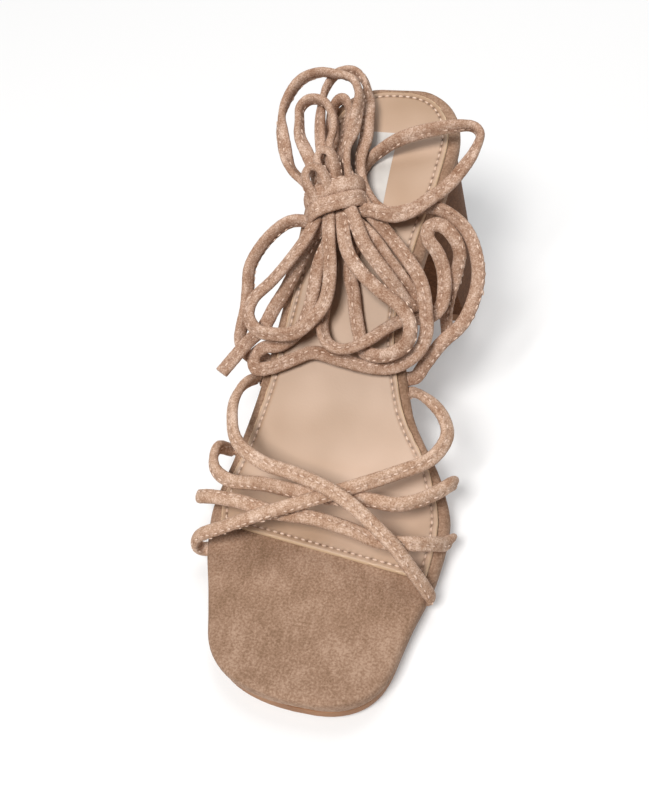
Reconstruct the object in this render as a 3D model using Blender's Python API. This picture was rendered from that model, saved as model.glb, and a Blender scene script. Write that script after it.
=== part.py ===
"""Strappy lace-up sandal on a block heel, right foot.

Sizes are millimetres until a mesh is made. +X is the inner (medial) side of the foot and -X the outer
(lateral) side, the toe points to -Y and the heel to +Y, and the floor is Z = 0.
"""
import math
from collections import namedtuple

import bmesh
import bpy
import numpy as np

MM = 0.001
GAP = 0.3                  # clearance between neighbouring pieces
SHIFT_X = 3.0              # moves the last's own axis so that the part's box is centred on the origin
SHIFT_Y = -1.5
STATION = 6.5              # spacing of the sections along a sole piece
CURVE_FINE = 24            # steps between two points of a route, before it is cut to even lengths

# Last: the footbed's top edge, one row for each section from toe to heel
Section = namedtuple("Section", "along lateral medial height")
LAST = (
    Section(-113, -29.4, 32.0, 13.8),
    Section(-97, -32.7, 33.4, 12.0),
    Section(-78, -38.6, 36.9, 11.0),
    Section(-58, -45.2, 41.7, 11.0),
    Section(-42, -47.8, 42.8, 11.0),
    Section(-36, -47.6, 42.4, 11.0),
    Section(-22, -44.4, 37.2, 15.6),
    Section(0, -38.3, 22.6, 29.0),
    Section(25, -33.0, 16.6, 47.0),
    Section(50, -30.0, 20.6, 63.0),
    Section(75, -28.8, 25.9, 75.0),
    Section(95, -28.6, 27.4, 81.0),
    Section(116, -28.6, 27.4, 85.0),
)
TOE = LAST[0].along
BACK = LAST[-1].along
TOE_ROUND = 22.0           # length of the rounded toe corners
TOE_SQUARENESS = 2.45      # exponent of their curve: 2 is an ellipse, more is squarer
TOE_MIDDLE = 7.0           # across: the corners close in on this line
HEEL_ROUND = 30.0
HEEL_SQUARENESS = 2.5
HEEL_MIDDLE = -0.5

# Footbed board wrapped in faux suede
FOOTBED_THICK = 6.5
FOOTBED_EDGE = 2.6         # radius of the wrapped edge

# Sock, sewn on top of the footbed from the ball to the heel
SOCK_FRONT = -57.0
SOCK_SKEW = -0.11          # its front edge runs further to the toe on the inner side
SOCK_SQUARE_BY = -20.0     # sections are square to the foot from here back
SOCK_INSET = 4.6
SOCK_THICK = 1.2
SOCK_EDGE = 0.4

# Outsole, from the toe to the heel's breast
Sole = namedtuple("Sole", "along thick inset")
OUTSOLE = (
    Sole(-113, 4.0, 0.4),
    Sole(-78, 4.2, 1.5),
    Sole(-36, 4.2, 1.6),
    Sole(0, 3.0, 1.3),
    Sole(60, 2.4, 0.9),
)
OUTSOLE_END = 58.5
OUTSOLE_EDGE = 0.7

# Block heel and its top piece: one row for the floor and one for the seat under the footbed
Block = namedtuple("Block", "breast back")
HEEL_FLOOR = Block(69.5, 112.0)
HEEL_SEAT = Block(59.5, 114.5)
HEEL_FLOOR_LATERAL = -33.5
HEEL_FLOOR_MEDIAL = 34.0
HEEL_BREAST_NARROW = 3.2   # each side, at the breast
HEEL_BLOCK_ROUND = 0.62    # share of the block's depth that its round back takes
HEEL_BLOCK_SQUARENESS = 2.5
HEEL_SEAT_INSET = 0.9
HEEL_SEAT_FULL = 0.45      # share of the seat's depth where its sides stop following the footbed
TOP_PIECE_THICK = 5.0

# Upper: cord straps over the toes, from the outer side to the inner side.
# Each starts and ends at the wrapped edge of the footbed, at the two stations of its roots.
STRAP_WIDE = 5.2
STRAP_THICK = 4.4
STRAP_SIDES = 8
STRAP_STEP = 3.6           # length between sections
STRAP_AXIS_HEIGHT = 6.0    # straps lie flat round a line along the foot at this height
ROOT_REACH = 3.3           # straps leave the edge square to it over this length
ROOT_CLEAR = 0.5           # gap at a strap's end, which is flat beside a rounded edge
ROOT_RISE = 0.6            # how far it climbs on the way out
Point = namedtuple("Point", "across along height")
Strap = namedtuple("Strap", "lateral_root medial_root route")
STRAPS = {
    "toe_to_arch": Strap(-60.0, 5.0, (
        Point(-48.2, -61.0, 12.5),
        Point(-45.5, -60.3, 18.0),
        Point(-36.5, -58.5, 23.0),
        Point(-21.0, -53.0, 28.0),
        Point(-7.0, -47.0, 30.0),
        Point(8.0, -39.5, 31.0),
        Point(22.0, -31.5, 31.0),
        Point(34.8, -23.5, 32.5),
        Point(38.8, -15.0, 35.0),
        Point(36.0, -7.5, 36.0),
        Point(29.5, -0.8, 35.5),
    )),
    "arch_to_toe": Strap(5.0, -66.0, (
        Point(-41.8, -2.0, 35.0),
        Point(-42.3, -12.0, 38.0),
        Point(-40.8, -20.0, 38.0),
        Point(-36.4, -29.5, 37.0),
        Point(-24.6, -37.0, 36.5),
        Point(-11.4, -39.5, 35.5),
        Point(1.2, -43.2, 34.5),
        Point(9.8, -47.0, 33.5),
        Point(18.6, -52.2, 31.0),
        Point(27.4, -58.0, 28.0),
        Point(34.0, -62.5, 22.0),
        Point(41.0, -65.5, 13.5),
    )),
    "across_ball": Strap(-38.5, -41.5, (
        Point(-51.8, -41.4, 13.5),
        Point(-50.3, -44.2, 18.3),
        Point(-46.0, -45.3, 21.2),
        Point(-41.0, -46.0, 22.5),
        Point(-32.0, -47.3, 24.0),
        Point(-19.0, -50.0, 25.0),
        Point(-3.0, -50.6, 25.5),
        Point(10.2, -53.0, 26.0),
        Point(22.8, -56.2, 26.3),
        Point(33.7, -53.5, 23.0),
        Point(41.3, -50.0, 19.6),
        Point(45.2, -46.6, 14.6),
    )),
    "behind_ball": Strap(-20.0, -22.0, (
        Point(-48.6, -24.5, 22.5),
        Point(-48.0, -31.0, 24.5),
        Point(-44.5, -36.8, 25.5),
        Point(-37.9, -40.2, 26.0),
        Point(-25.0, -40.5, 28.0),
        Point(-12.0, -41.5, 28.6),
        Point(1.3, -41.8, 28.6),
        Point(14.2, -40.8, 28.0),
        Point(24.0, -41.2, 27.0),
        Point(31.0, -38.4, 26.0),
        Point(38.2, -32.3, 24.0),
        Point(42.6, -27.2, 22.2),
        Point(43.2, -23.4, 17.6),
    )),
}

# Laces: two long cords from the arch, gathered in loops and tied in a bundle on the sock.
# A cord leaves the knot at a slot of its heel face (1) or toe face (-1), or the footbed's edge at a root.
CORD = 4.8
CORD_CLEAR = 0.9           # least gap between a cord's middle stretches and anything else
CORD_STEP = 2.8            # length between the points that are eased apart
CORD_KEEP = 2              # every second of them is kept for the tube
CORD_HELD = 2              # points that stay put at a held end
EASE_ROUNDS = 260
EASE_STATIONS = 120        # rows along the sole that the cords are held against
EASE_SHARE = 0.22          # share of an overlap that one round takes away
EASE_SMOOTH = 0.35         # how far a shift spreads to the points beside it
EASE_RETURN = 0.995        # share of a shift that stays after each round
KNOT_ACROSS = -13.5        # where the knot stands on the sock
KNOT_ALONG = 63.0
KNOT_TURN = 24.0
KNOT_WIDE = 24.0
KNOT_THICK = 17.0
KNOT_LONG = 14.0
KNOT_SQUARENESS = 3.0
KNOT_SIDES = 20
KNOT_COLUMN = 5.5          # spacing of the slots in its faces
KNOT_ROW = 5.3
KNOT_BANDS = 2             # turns of cord round the bundle
KNOT_WAIST = 0.86          # size of the knot between the turns and at its faces
Slot = namedtuple("Slot", "face column row")
Root = namedtuple("Root", "side along")
Lace = namedtuple("Lace", "start end route")
LACES = {
    "lace_outer_run": Lace(Root(0, 11.5), Slot(-1, -1.5, -1), (
        Point(-43, 10, 37),
        Point(-46, 12, 42),
        Point(-46, 16, 46),
        Point(-45, 22, 51),
        Point(-45, 28, 56),
        Point(-45, 34, 61),
        Point(-42, 41, 65),
        Point(-37, 48, 68),
        Point(-30, 53, 70),
    )),
    "lace_inner_run": Lace(Root(1, 10.5), Slot(-1, 1.5, -1), (
        Point(25, 14, 37),
        Point(31, 20, 44),
        Point(38, 25, 50),
        Point(41, 31, 55),
        Point(42, 39, 60),
        Point(40, 47, 64),
        Point(35, 55, 68),
        Point(28, 59, 71),
        Point(20, 60, 73),
        Point(12, 58, 72),
        Point(4, 56, 71),
    )),
    "lace_back_loop_near": Lace(Slot(1, -1.5, 1), Slot(1, -0.5, 1), (
        Point(-26, 70, 87),
        Point(-31, 76, 89),
        Point(-33, 84, 91),
        Point(-34, 90, 93),
        Point(-31, 94, 94),
        Point(-25, 93, 94),
        Point(-21, 88, 93),
        Point(-18, 79, 91),
    )),
    "lace_back_loop_wide": Lace(Slot(1, -1.5, 0), Slot(1, 0.5, 1), (
        Point(-30, 65, 79),
        Point(-35, 69, 81),
        Point(-39, 78, 86),
        Point(-42, 88, 90),
        Point(-41, 98, 93),
        Point(-37, 104, 96),
        Point(-30, 106, 98),
        Point(-22, 104, 99),
        Point(-15, 101, 99),
        Point(-11, 94, 97),
        Point(-11, 87, 94),
        Point(-11, 76, 91),
    )),
    "lace_back_loop_far": Lace(Slot(1, 1.5, 0), Slot(1, -0.5, 0), (
        Point(-7, 77, 85),
        Point(-8, 90, 88),
        Point(-10, 102, 91),
        Point(-13, 109, 93),
        Point(-18, 113, 94),
        Point(-24, 111, 94),
        Point(-27, 104, 92),
        Point(-27, 96, 89),
        Point(-26, 87, 87),
        Point(-24, 78, 85),
    )),
    "lace_back_loop_low": Lace(Slot(1, -0.5, -1), Slot(1, 0.5, 0), (
        Point(-21, 81, 82),
        Point(-24, 92, 85),
        Point(-25, 100, 87),
        Point(-22, 104, 88),
        Point(-18, 99, 87),
        Point(-16, 88, 86),
        Point(-15, 77, 84),
    )),
    "lace_bow": Lace(Slot(1, 1.5, -1), Slot(-1, 1.8, 1), (
        Point(-4, 78, 82),
        Point(2, 80.5, 86),
        Point(11, 83, 89),
        Point(20, 85.5, 90),
        Point(28, 87.5, 90),
        Point(33, 88.5, 89),
        Point(36, 86, 88),
        Point(35, 80, 85),
        Point(32, 74, 82),
        Point(27, 67, 78),
        Point(21, 60, 76),
        Point(13, 53, 75),
        Point(5, 50, 76),
    )),
    "lace_front_loop_outer": Lace(Slot(-1, -0.9, 1), Slot(-1, -1.8, 1), (
        Point(-14.3, 42, 75),
        Point(-12.8, 37, 70.5),
        Point(-11.8, 32, 66.5),
        Point(-11.6, 26.5, 62),
        Point(-13, 21, 57.5),
        Point(-17.5, 15.5, 54),
        Point(-23, 12, 51),
        Point(-32, 12, 49),
        Point(-38, 13, 49),
        Point(-42, 17, 52),
        Point(-41, 22, 56),
        Point(-34, 28, 61),
        Point(-28, 33, 66),
        Point(-22.5, 39, 71),
    )),
    "lace_front_loop_inner": Lace(Slot(-1, 0, 1), Slot(-1, 0.5, -1), (
        Point(-8, 40, 73.5),
        Point(-2.4, 33.5, 68.5),
        Point(7, 28, 64),
        Point(15.6, 24, 60.5),
        Point(20.3, 19, 57.5),
        Point(21.3, 15, 54.5),
        Point(20, 12, 51),
        Point(15, 9, 48),
        Point(9, 9, 45),
        Point(3, 11, 44),
        Point(0.5, 16.5, 45),
        Point(-2, 23.5, 49.5),
        Point(-4, 30.5, 55),
        Point(-6.5, 37, 60.5),
    )),
    "lace_front_loop_middle": Lace(Slot(-1, 0.9, 1), Slot(-1, 0.5, 0), (
        Point(-1.8, 42, 74.5),
        Point(4.9, 35.6, 69.5),
        Point(10.5, 30.8, 65),
        Point(14, 28, 61),
        Point(17.8, 26, 56.5),
        Point(20.8, 27.5, 53.8),
        Point(20.3, 30.8, 55.3),
        Point(15.5, 33.8, 61.5),
        Point(9, 38.8, 68),
        Point(2.8, 45.8, 73.3),
    )),
    "lace_front_sweep": Lace(Slot(-1, -0.5, 0), Slot(-1, 1.5, 0), (
        Point(-15.5, 43, 70.5),
        Point(-17.5, 38, 67),
        Point(-18, 33, 63),
        Point(-18.3, 28, 58.5),
        Point(-19.5, 22.5, 53),
        Point(-24, 16, 46.5),
        Point(-31, 12, 43),
        Point(-36, 11, 43),
        Point(-40, 8, 41),
        Point(-39, 4, 38),
        Point(-33, 5, 38),
        Point(-25, 8, 40),
        Point(-17, 11, 42),
        Point(-7, 10, 41),
        Point(3, 9, 40),
        Point(13, 9, 40),
        Point(20, 11, 43),
        Point(24.5, 15, 47),
        Point(25.5, 19, 51),
        Point(24.3, 24, 55),
        Point(22.2, 29.8, 59),
        Point(18.7, 35.3, 62.5),
        Point(13.9, 39.9, 66.5),
        Point(7.2, 45.4, 71),
        Point(2.5, 49, 73.5),
    )),
    "lace_inner_end": Lace(Slot(-1, -0.5, -1), None, (
        Point(-17, 46, 67),
        Point(-15, 36, 60),
        Point(-15, 26, 54),
        Point(-14, 17, 50),
        Point(-11, 12, 47),
        Point(-6, 10, 46),
        Point(0, 10, 47),
        Point(5, 13, 48),
        Point(10, 18, 49),
        Point(15, 23, 49),
        Point(20, 26, 48),
        Point(25, 28, 48),
        Point(29, 31, 51),
        Point(30, 37, 56),
        Point(29, 42, 60),
        Point(26, 46, 65),
        Point(22, 49, 69),
        Point(22, 53, 71),
        Point(26, 54, 71),
        Point(31, 51, 69),
        Point(34, 47, 65),
        Point(33, 43, 58),
        Point(31, 39, 50),
        Point(30, 35, 43),
        Point(31, 31, 37),
    )),
    "lace_outer_end": Lace(Slot(-1, -1.5, 0), None, (
        Point(-22, 41, 68),
        Point(-26, 34, 63),
        Point(-30, 29, 56),
        Point(-34, 23, 51),
        Point(-37, 17, 47),
        Point(-41, 12, 45),
        Point(-44, 5, 45),
        Point(-49, -4, 43),
    )),
}

# Finishes: base colour, roughness
Finish = namedtuple("Finish", "colour roughness")
SUEDE = Finish((0.42, 0.26, 0.18), 0.9)
SUEDE_CORD = Finish((0.50, 0.31, 0.22), 0.9)
SMOOTH_SOCK = Finish((0.66, 0.43, 0.29), 0.5)
TAN_RUBBER = Finish((0.50, 0.26, 0.12), 0.6)
HEEL_SUEDE = Finish((0.36, 0.20, 0.12), 0.9)


def monotone(xs, ys):
    """Smooth curve through a table, which never overshoots its rows."""
    xs = np.asarray(xs, float)
    ys = np.asarray(ys, float)
    step = np.diff(xs)
    rise = np.diff(ys) / step
    slope = np.zeros(len(xs))
    slope[0] = rise[0]
    slope[-1] = rise[-1]
    for i in range(1, len(xs) - 1):
        if rise[i - 1] * rise[i] > 0:
            before = 2 * step[i] + step[i - 1]
            after = step[i] + 2 * step[i - 1]
            slope[i] = (before + after) / (before / rise[i - 1] + after / rise[i])

    def value(x):
        i = int(np.clip(np.searchsorted(xs, x) - 1, 0, len(step) - 1))
        t = (x - xs[i]) / step[i]
        bend = 3 * t ** 2 - 2 * t ** 3
        pull = slope[i] * (t ** 3 - 2 * t ** 2 + t) + slope[i + 1] * (t ** 3 - t ** 2)
        return float(ys[i] + (ys[i + 1] - ys[i]) * bend + step[i] * pull)

    return value


lateral_of = monotone([s.along for s in LAST], [s.lateral for s in LAST])
medial_of = monotone([s.along for s in LAST], [s.medial for s in LAST])
height_of = monotone([s.along for s in LAST], [s.height for s in LAST])
outsole_thick_of = monotone([s.along for s in OUTSOLE], [s.thick for s in OUTSOLE])
outsole_inset_of = monotone([s.along for s in OUTSOLE], [s.inset for s in OUTSOLE])


def fullness(share, squareness):
    """Width left at a share of the way round a rounded end, 1 at its start and 0 at its tip."""
    return max(0.0, 1 - share ** squareness) ** (1 / squareness)


def edges(along, inset=0.0):
    """Outer and inner edge of the last at a station, drawn in by an inset on every side."""
    lateral = lateral_of(along) + inset
    medial = medial_of(along) - inset
    toe = TOE + inset
    back = BACK - inset
    if along < toe + TOE_ROUND:
        left = fullness((toe + TOE_ROUND - along) / TOE_ROUND, TOE_SQUARENESS)
        middle = TOE_MIDDLE
    elif along > back - HEEL_ROUND:
        left = fullness((along - back + HEEL_ROUND) / HEEL_ROUND, HEEL_SQUARENESS)
        middle = HEEL_MIDDLE
    else:
        left = 1.0
        middle = 0.0
    return middle + (lateral - middle) * left, middle + (medial - middle) * left


def steepness(along):
    """Length along the sloping sole for each millimetre along the floor."""
    rise = (height_of(along + 0.5) - height_of(along - 0.5)) / 1.0
    return math.hypot(1.0, rise)


def footbed_under(along):
    return height_of(along) - FOOTBED_THICK * steepness(along)


def outsole_top(along):
    return footbed_under(along) - GAP


def tread(along):
    """Underside of the outsole, flat on the floor below the ball of the foot."""
    return outsole_top(along) - outsole_thick_of(along) * steepness(along)


def rounded_end(start, length, count, towards):
    """Stations that crowd together towards the tip of a rounded end."""
    first = 0.15
    angles = np.linspace(first, math.pi / 2, count)
    return [start + towards * length * (1 - math.cos(a)) for a in angles]


def sole_stations(toe, back):
    """Stations for a slab: both ends may be rounded, or cut square where they stop short."""
    rows = []
    first = toe
    last = back
    if toe < TOE + TOE_ROUND / 2:
        rows += rounded_end(toe, TOE_ROUND, 8, 1)
        first = rows[-1]
    if back > BACK - HEEL_ROUND / 2:
        last = back - HEEL_ROUND
    middle = list(np.linspace(first, last, max(2, round((last - first) / STATION))))
    rows = rows[:-1] + middle
    if last < back:
        rows += rounded_end(back, HEEL_ROUND, 9, -1)[::-1][1:]
    return rows


def arc(centre_x, centre_z, radius, start, segments):
    """Quarter turn of points, clockwise from a start angle in degrees."""
    turns = [math.radians(start - 90 * i / segments) for i in range(segments + 1)]
    return [(centre_x + radius * math.cos(a), centre_z + radius * math.sin(a)) for a in turns]


def slab_ring(along, lateral, medial, top, bottom, radius, segments, skew=0.0):
    """Section of a slab with rounded edges."""
    r = min(radius, (top - bottom) * 0.49, (medial - lateral) * 0.3)
    row = [lateral + r + (medial - lateral - 2 * r) * i / 6 for i in range(1, 6)]
    profile = arc(lateral + r, top - r, r, 180, segments)
    profile += [(x, top) for x in row]
    profile += arc(medial - r, top - r, r, 90, segments)
    profile += arc(medial - r, bottom + r, r, 0, segments)
    profile += [(x, bottom) for x in row[::-1]]
    profile += arc(lateral + r, bottom + r, r, -90, segments)
    ring = []
    for x, z in profile:
        y = along + skew * x
        ring.append((x, y, z + height_of(y) - height_of(along)))
    return ring


def finish(name, bm, look, sharp=35):
    """Turn a bmesh in millimetres into a shaded object in metres, with its material."""
    bmesh.ops.recalc_face_normals(bm, faces=bm.faces[:])
    for vert in bm.verts:
        vert.co.x = (vert.co.x + SHIFT_X) * MM
        vert.co.y = (vert.co.y + SHIFT_Y) * MM
        vert.co.z *= MM
    mesh = bpy.data.meshes.new(name)
    bm.to_mesh(mesh)
    bm.free()
    mesh.shade_smooth()
    mesh.set_sharp_from_angle(angle=math.radians(sharp))
    piece = bpy.data.objects.new(name, mesh)
    bpy.context.collection.objects.link(piece)
    mesh.materials.append(material(name, look))
    return piece


def material(name, look):
    mat = bpy.data.materials.new(name + "_finish")
    mat.use_nodes = True
    shader = mat.node_tree.nodes["Principled BSDF"]
    shader.inputs["Base Color"].default_value = (*look.colour, 1.0)
    shader.inputs["Roughness"].default_value = look.roughness
    shader.inputs["Metallic"].default_value = 0.0
    return mat


def loft(rings):
    """Closed solid through rings of points, with flat ends."""
    bm = bmesh.new()
    rows = [[bm.verts.new(p) for p in ring] for ring in rings]
    count = len(rows[0])
    for one, two in zip(rows, rows[1:]):
        for i in range(count):
            j = (i + 1) % count
            bm.faces.new((one[i], one[j], two[j], two[i]))
    bm.faces.new(rows[0])
    bm.faces.new(rows[-1])
    return bm


def build_footbed():
    rings = []
    for along in sole_stations(TOE, BACK):
        lateral, medial = edges(along)
        inside = min(along - TOE, BACK - along, FOOTBED_EDGE)
        dip = FOOTBED_EDGE - math.sqrt(FOOTBED_EDGE ** 2 - (FOOTBED_EDGE - inside) ** 2)
        top = height_of(along) - dip
        bottom = footbed_under(along) + dip
        rings.append(slab_ring(along, lateral, medial, top, bottom, FOOTBED_EDGE, 2))
    return finish("footbed", loft(rings), SUEDE)


def build_sock():
    rings = []
    for along in sole_stations(SOCK_FRONT, BACK - SOCK_INSET):
        lateral, medial = edges(along, SOCK_INSET)
        skew = SOCK_SKEW * np.clip((SOCK_SQUARE_BY - along) / (SOCK_SQUARE_BY - SOCK_FRONT), 0, 1)
        bottom = height_of(along) + GAP * steepness(along)
        top = bottom + SOCK_THICK * steepness(along)
        rings.append(slab_ring(along, lateral, medial, top, bottom, SOCK_EDGE, 1, skew))
    return finish("sock", loft(rings), SMOOTH_SOCK)


def build_outsole():
    rings = []
    for along in sole_stations(TOE + OUTSOLE[0].inset, OUTSOLE_END):
        lateral, medial = edges(along, outsole_inset_of(along))
        top = outsole_top(along)
        rings.append(slab_ring(along, lateral, medial, top, tread(along), OUTSOLE_EDGE, 1))
    return finish("outsole", loft(rings), TAN_RUBBER)


def heel_ring(share, low, high, rows):
    """Section of the block at a share of its depth, from its breast to its back.

    low and high are shares of the height between the floor and the footbed's underside.
    """
    heights = np.linspace(low, high, rows)
    left = 1.0
    if share > 1 - HEEL_BLOCK_ROUND:
        left = fullness((share - 1 + HEEL_BLOCK_ROUND) / HEEL_BLOCK_ROUND, HEEL_BLOCK_SQUARENESS)
    narrow = HEEL_BREAST_NARROW * (1 - share)

    def place(side, up):
        breast = HEEL_FLOOR.breast + (HEEL_SEAT.breast - HEEL_FLOOR.breast) * up
        back = HEEL_FLOOR.back + (HEEL_SEAT.back - HEEL_FLOOR.back) * up
        along = breast + (back - breast) * share
        ends = HEEL_SEAT.breast + (HEEL_SEAT.back - HEEL_SEAT.breast) * min(share, HEEL_SEAT_FULL)
        seat_lateral, seat_medial = edges(ends, HEEL_SEAT_INSET)
        floor_lateral = HEEL_FLOOR_LATERAL + narrow
        floor_medial = HEEL_FLOOR_MEDIAL - narrow
        lateral = floor_lateral + (seat_lateral - floor_lateral) * up
        medial = floor_medial + (seat_medial - floor_medial) * up
        lateral = HEEL_MIDDLE + (lateral - HEEL_MIDDLE) * left
        medial = HEEL_MIDDLE + (medial - HEEL_MIDDLE) * left
        across = lateral + (medial - lateral) * side
        return (across, along, up * (footbed_under(along) - GAP))

    ring = [place(0, up) for up in heights]
    ring += [place(i / 4, high) for i in range(1, 4)]
    ring += [place(1, up) for up in heights[::-1]]
    ring += [place(i / 4, low) for i in (3, 2, 1)]
    return ring


def heel_shares():
    flat = list(np.linspace(0, 1 - HEEL_BLOCK_ROUND, 3))
    return flat + rounded_end(1, HEEL_BLOCK_ROUND, 9, -1)[::-1][1:]


def build_heel():
    cut = (TOP_PIECE_THICK + GAP) / (footbed_under(HEEL_FLOOR.breast) - GAP)
    rings = [heel_ring(share, cut, 1.0, 6) for share in heel_shares()]
    return finish("heel", loft(rings), HEEL_SUEDE)


def build_top_piece():
    rings = []
    for share in heel_shares():
        ring = heel_ring(share, 0.0, 0.05, 2)
        low = min(p[2] for p in ring)
        rings.append([(x, y, 0.0 if z == low else TOP_PIECE_THICK) for x, y, z in ring])
    return finish("heel_top_piece", loft(rings), TAN_RUBBER)


def smooth_path(points, step):
    """Points at even steps along a smooth curve through a route."""
    route = np.asarray(points, float)
    route = np.vstack([2 * route[0] - route[1], route, 2 * route[-1] - route[-2]])
    fine = []
    for a, b, c, d in zip(route, route[1:], route[2:], route[3:]):
        knots = np.cumsum([0.0] + [math.sqrt(np.linalg.norm(q - p)) for p, q in ((a, b), (b, c), (c, d))])
        for t in np.linspace(knots[1], knots[2], CURVE_FINE, endpoint=False):
            ab = a + (b - a) * (t - knots[0]) / (knots[1] - knots[0])
            bc = b + (c - b) * (t - knots[1]) / (knots[2] - knots[1])
            cd = c + (d - c) * (t - knots[2]) / (knots[3] - knots[2])
            abc = ab + (bc - ab) * (t - knots[0]) / (knots[2] - knots[0])
            bcd = bc + (cd - bc) * (t - knots[1]) / (knots[3] - knots[1])
            fine.append(abc + (bcd - abc) * (t - knots[1]) / (knots[2] - knots[1]))
    fine = np.array(fine + [route[-2]])
    run = np.concatenate([[0.0], np.cumsum(np.linalg.norm(np.diff(fine, axis=0), axis=1))])
    marks = np.linspace(0.0, run[-1], max(2, round(run[-1] / step) + 1))
    return np.column_stack([np.interp(marks, run, fine[:, k]) for k in range(3)])


def root(side, along):
    """Two points where a strap leaves the footbed's edge, square to it at half its thickness."""
    here = np.array([edges(along)[side], along])
    ahead = np.array([edges(along + 0.5)[side], along + 0.5])
    run = (ahead - here) / np.linalg.norm(ahead - here)
    out = np.array([run[1], -run[0]]) * (1 if side else -1)
    middle = (height_of(along) + footbed_under(along)) / 2
    start = here + out * ROOT_CLEAR
    end = here + out * ROOT_REACH
    return [(*start, middle), (*end, middle + ROOT_RISE)]


def strap_route(strap):
    return root(0, strap.lateral_root) + list(strap.route) + root(1, strap.medial_root)[::-1]


def strap_bm(strap):
    """Flattened cord along a strap's route, lying flat round the foot."""
    path = smooth_path(strap_route(strap), STRAP_STEP)
    tangents = np.gradient(path, axis=0)
    rings = []
    for place, run in zip(path, tangents):
        run = run / np.linalg.norm(run)
        out = np.array([place[0], 0.0, place[2] - STRAP_AXIS_HEIGHT])
        wide = np.cross(run, out)
        wide = wide / np.linalg.norm(wide)
        thick = np.cross(wide, run)
        ring = []
        for i in range(STRAP_SIDES):
            turn = 2 * math.pi * (i + 0.5) / STRAP_SIDES
            offset = wide * math.cos(turn) * STRAP_WIDE / 2 + thick * math.sin(turn) * STRAP_THICK / 2
            ring.append(tuple(place + offset))
        rings.append(ring)
    return loft(rings)


def build_upper():
    """The straps joined where they cross, as one solid."""
    upper = None
    for name, strap in STRAPS.items():
        if upper is None:
            upper = finish("upper", strap_bm(strap), SUEDE_CORD, 50)
            continue
        cutter = finish("join_" + name, strap_bm(strap), SUEDE_CORD, 50)
        cutter.hide_render = True
        cutter.display_type = "WIRE"
        join = upper.modifiers.new(name, "BOOLEAN")
        join.operation = "UNION"
        join.solver = "EXACT"
        join.object = cutter
    return upper


def sock_top(along):
    return height_of(along) + (GAP + SOCK_THICK) * steepness(along)


def knot_frame():
    """Centre of the knot, and its directions across, towards the heel and out of the sock."""
    slope = math.atan(height_of(KNOT_ALONG + 0.5) - height_of(KNOT_ALONG - 0.5))
    turn = math.radians(KNOT_TURN)
    uphill = np.array([0.0, math.cos(slope), math.sin(slope)])
    out = np.array([0.0, -math.sin(slope), math.cos(slope)])
    side = np.array([1.0, 0.0, 0.0])
    across = side * math.cos(turn) + uphill * math.sin(turn)
    heelward = uphill * math.cos(turn) - side * math.sin(turn)
    foot = np.array([KNOT_ACROSS, KNOT_ALONG, sock_top(KNOT_ALONG)])
    return foot + out * (KNOT_THICK / 2 + GAP), across, heelward, out


def lace_end(end):
    """Two points where a cord leaves the knot or the footbed's edge, the outer one last."""
    if isinstance(end, Root):
        return root(end.side, end.along)
    centre, across, heelward, out = knot_frame()
    start = centre + across * end.column * KNOT_COLUMN + out * end.row * KNOT_ROW
    start = start + heelward * end.face * (KNOT_LONG / 2 + GAP)
    return [tuple(start), tuple(start + heelward * end.face * CORD)]


def lace_path(lace):
    points = lace_end(lace.start) + list(lace.route)
    if lace.end is not None:
        points += lace_end(lace.end)[::-1]
    return smooth_path(points, CORD_STEP)


def in_the_way():
    """Places that the cords keep away from, and how far each reaches: straps, and the knot's middle."""
    places = []
    reach = []
    for strap in STRAPS.values():
        path = smooth_path(strap_route(strap), STRAP_STEP)
        places += list(path)
        reach += [STRAP_WIDE / 2] * len(path)
    centre, across, heelward, out = knot_frame()
    for share in (-1, 0, 1):
        places.append(centre + across * share * (KNOT_WIDE - KNOT_THICK) / 2)
        reach.append(KNOT_LONG / 2)
    return np.array(places), np.array(reach)


def lift_off_sole(points):
    """Move points that are in the sole up to lie on the sock, or out past the nearer edge."""
    stations = np.linspace(TOE, BACK, EASE_STATIONS)
    rows = np.array([(*edges(a), sock_top(a), steepness(a), footbed_under(a)) for a in stations])
    lateral, medial, top, steep, under = (np.interp(points[:, 1], stations, row) for row in rows.T)
    reach = CORD / 2 + CORD_CLEAR / 2
    inside = np.minimum(points[:, 0] - lateral, medial - points[:, 0]) + reach
    below = top + reach * steep - points[:, 2]
    sunk = (inside > 0) & (below > 0) & (points[:, 2] > under - reach) & (points[:, 1] < BACK)
    up = sunk & (below <= inside)
    aside = sunk & ~up
    points[up, 2] += below[up]
    outward = np.where(points[:, 0] > (lateral + medial) / 2, 1.0, -1.0)
    points[aside, 0] += (outward * inside)[aside]


def ease_apart(paths, held):
    """Shift the cords' points until no two cords touch, nor the sock, a strap or the knot."""
    route = np.vstack(paths)
    owner = np.concatenate([[i] * len(path) for i, path in enumerate(paths)])
    order = np.arange(len(route))
    bend = math.ceil(2 * CORD / CORD_STEP)
    apart = (owner[:, None] != owner) | (abs(order[:, None] - order) > bend)
    places, reach = in_the_way()
    shift = np.zeros_like(route)
    for _ in range(EASE_ROUNDS):
        points = route + shift
        away = points[:, None] - points
        far = np.linalg.norm(away, axis=2) + 1e-9
        over = np.clip(CORD + CORD_CLEAR - far, 0.0, None) * apart
        shift += EASE_SHARE * (away * (over / far)[..., None]).sum(axis=1)
        away = points[:, None] - places
        far = np.linalg.norm(away, axis=2)
        over = np.clip(CORD / 2 + CORD_CLEAR + reach - far, 0.0, None)
        shift += EASE_SHARE * (away * (over / far)[..., None]).sum(axis=1)
        points = route + shift
        lift_off_sole(points)
        shift = (points - route) * EASE_RETURN
        shift[held] = 0.0
        beside = (np.roll(shift, 1, axis=0) + np.roll(shift, -1, axis=0)) / 2
        inner = (owner == np.roll(owner, 1)) & (owner == np.roll(owner, -1)) & ~held
        shift[inner] += EASE_SMOOTH * (beside - shift)[inner]
    return [(route + shift)[owner == i] for i in range(len(paths))]


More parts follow.
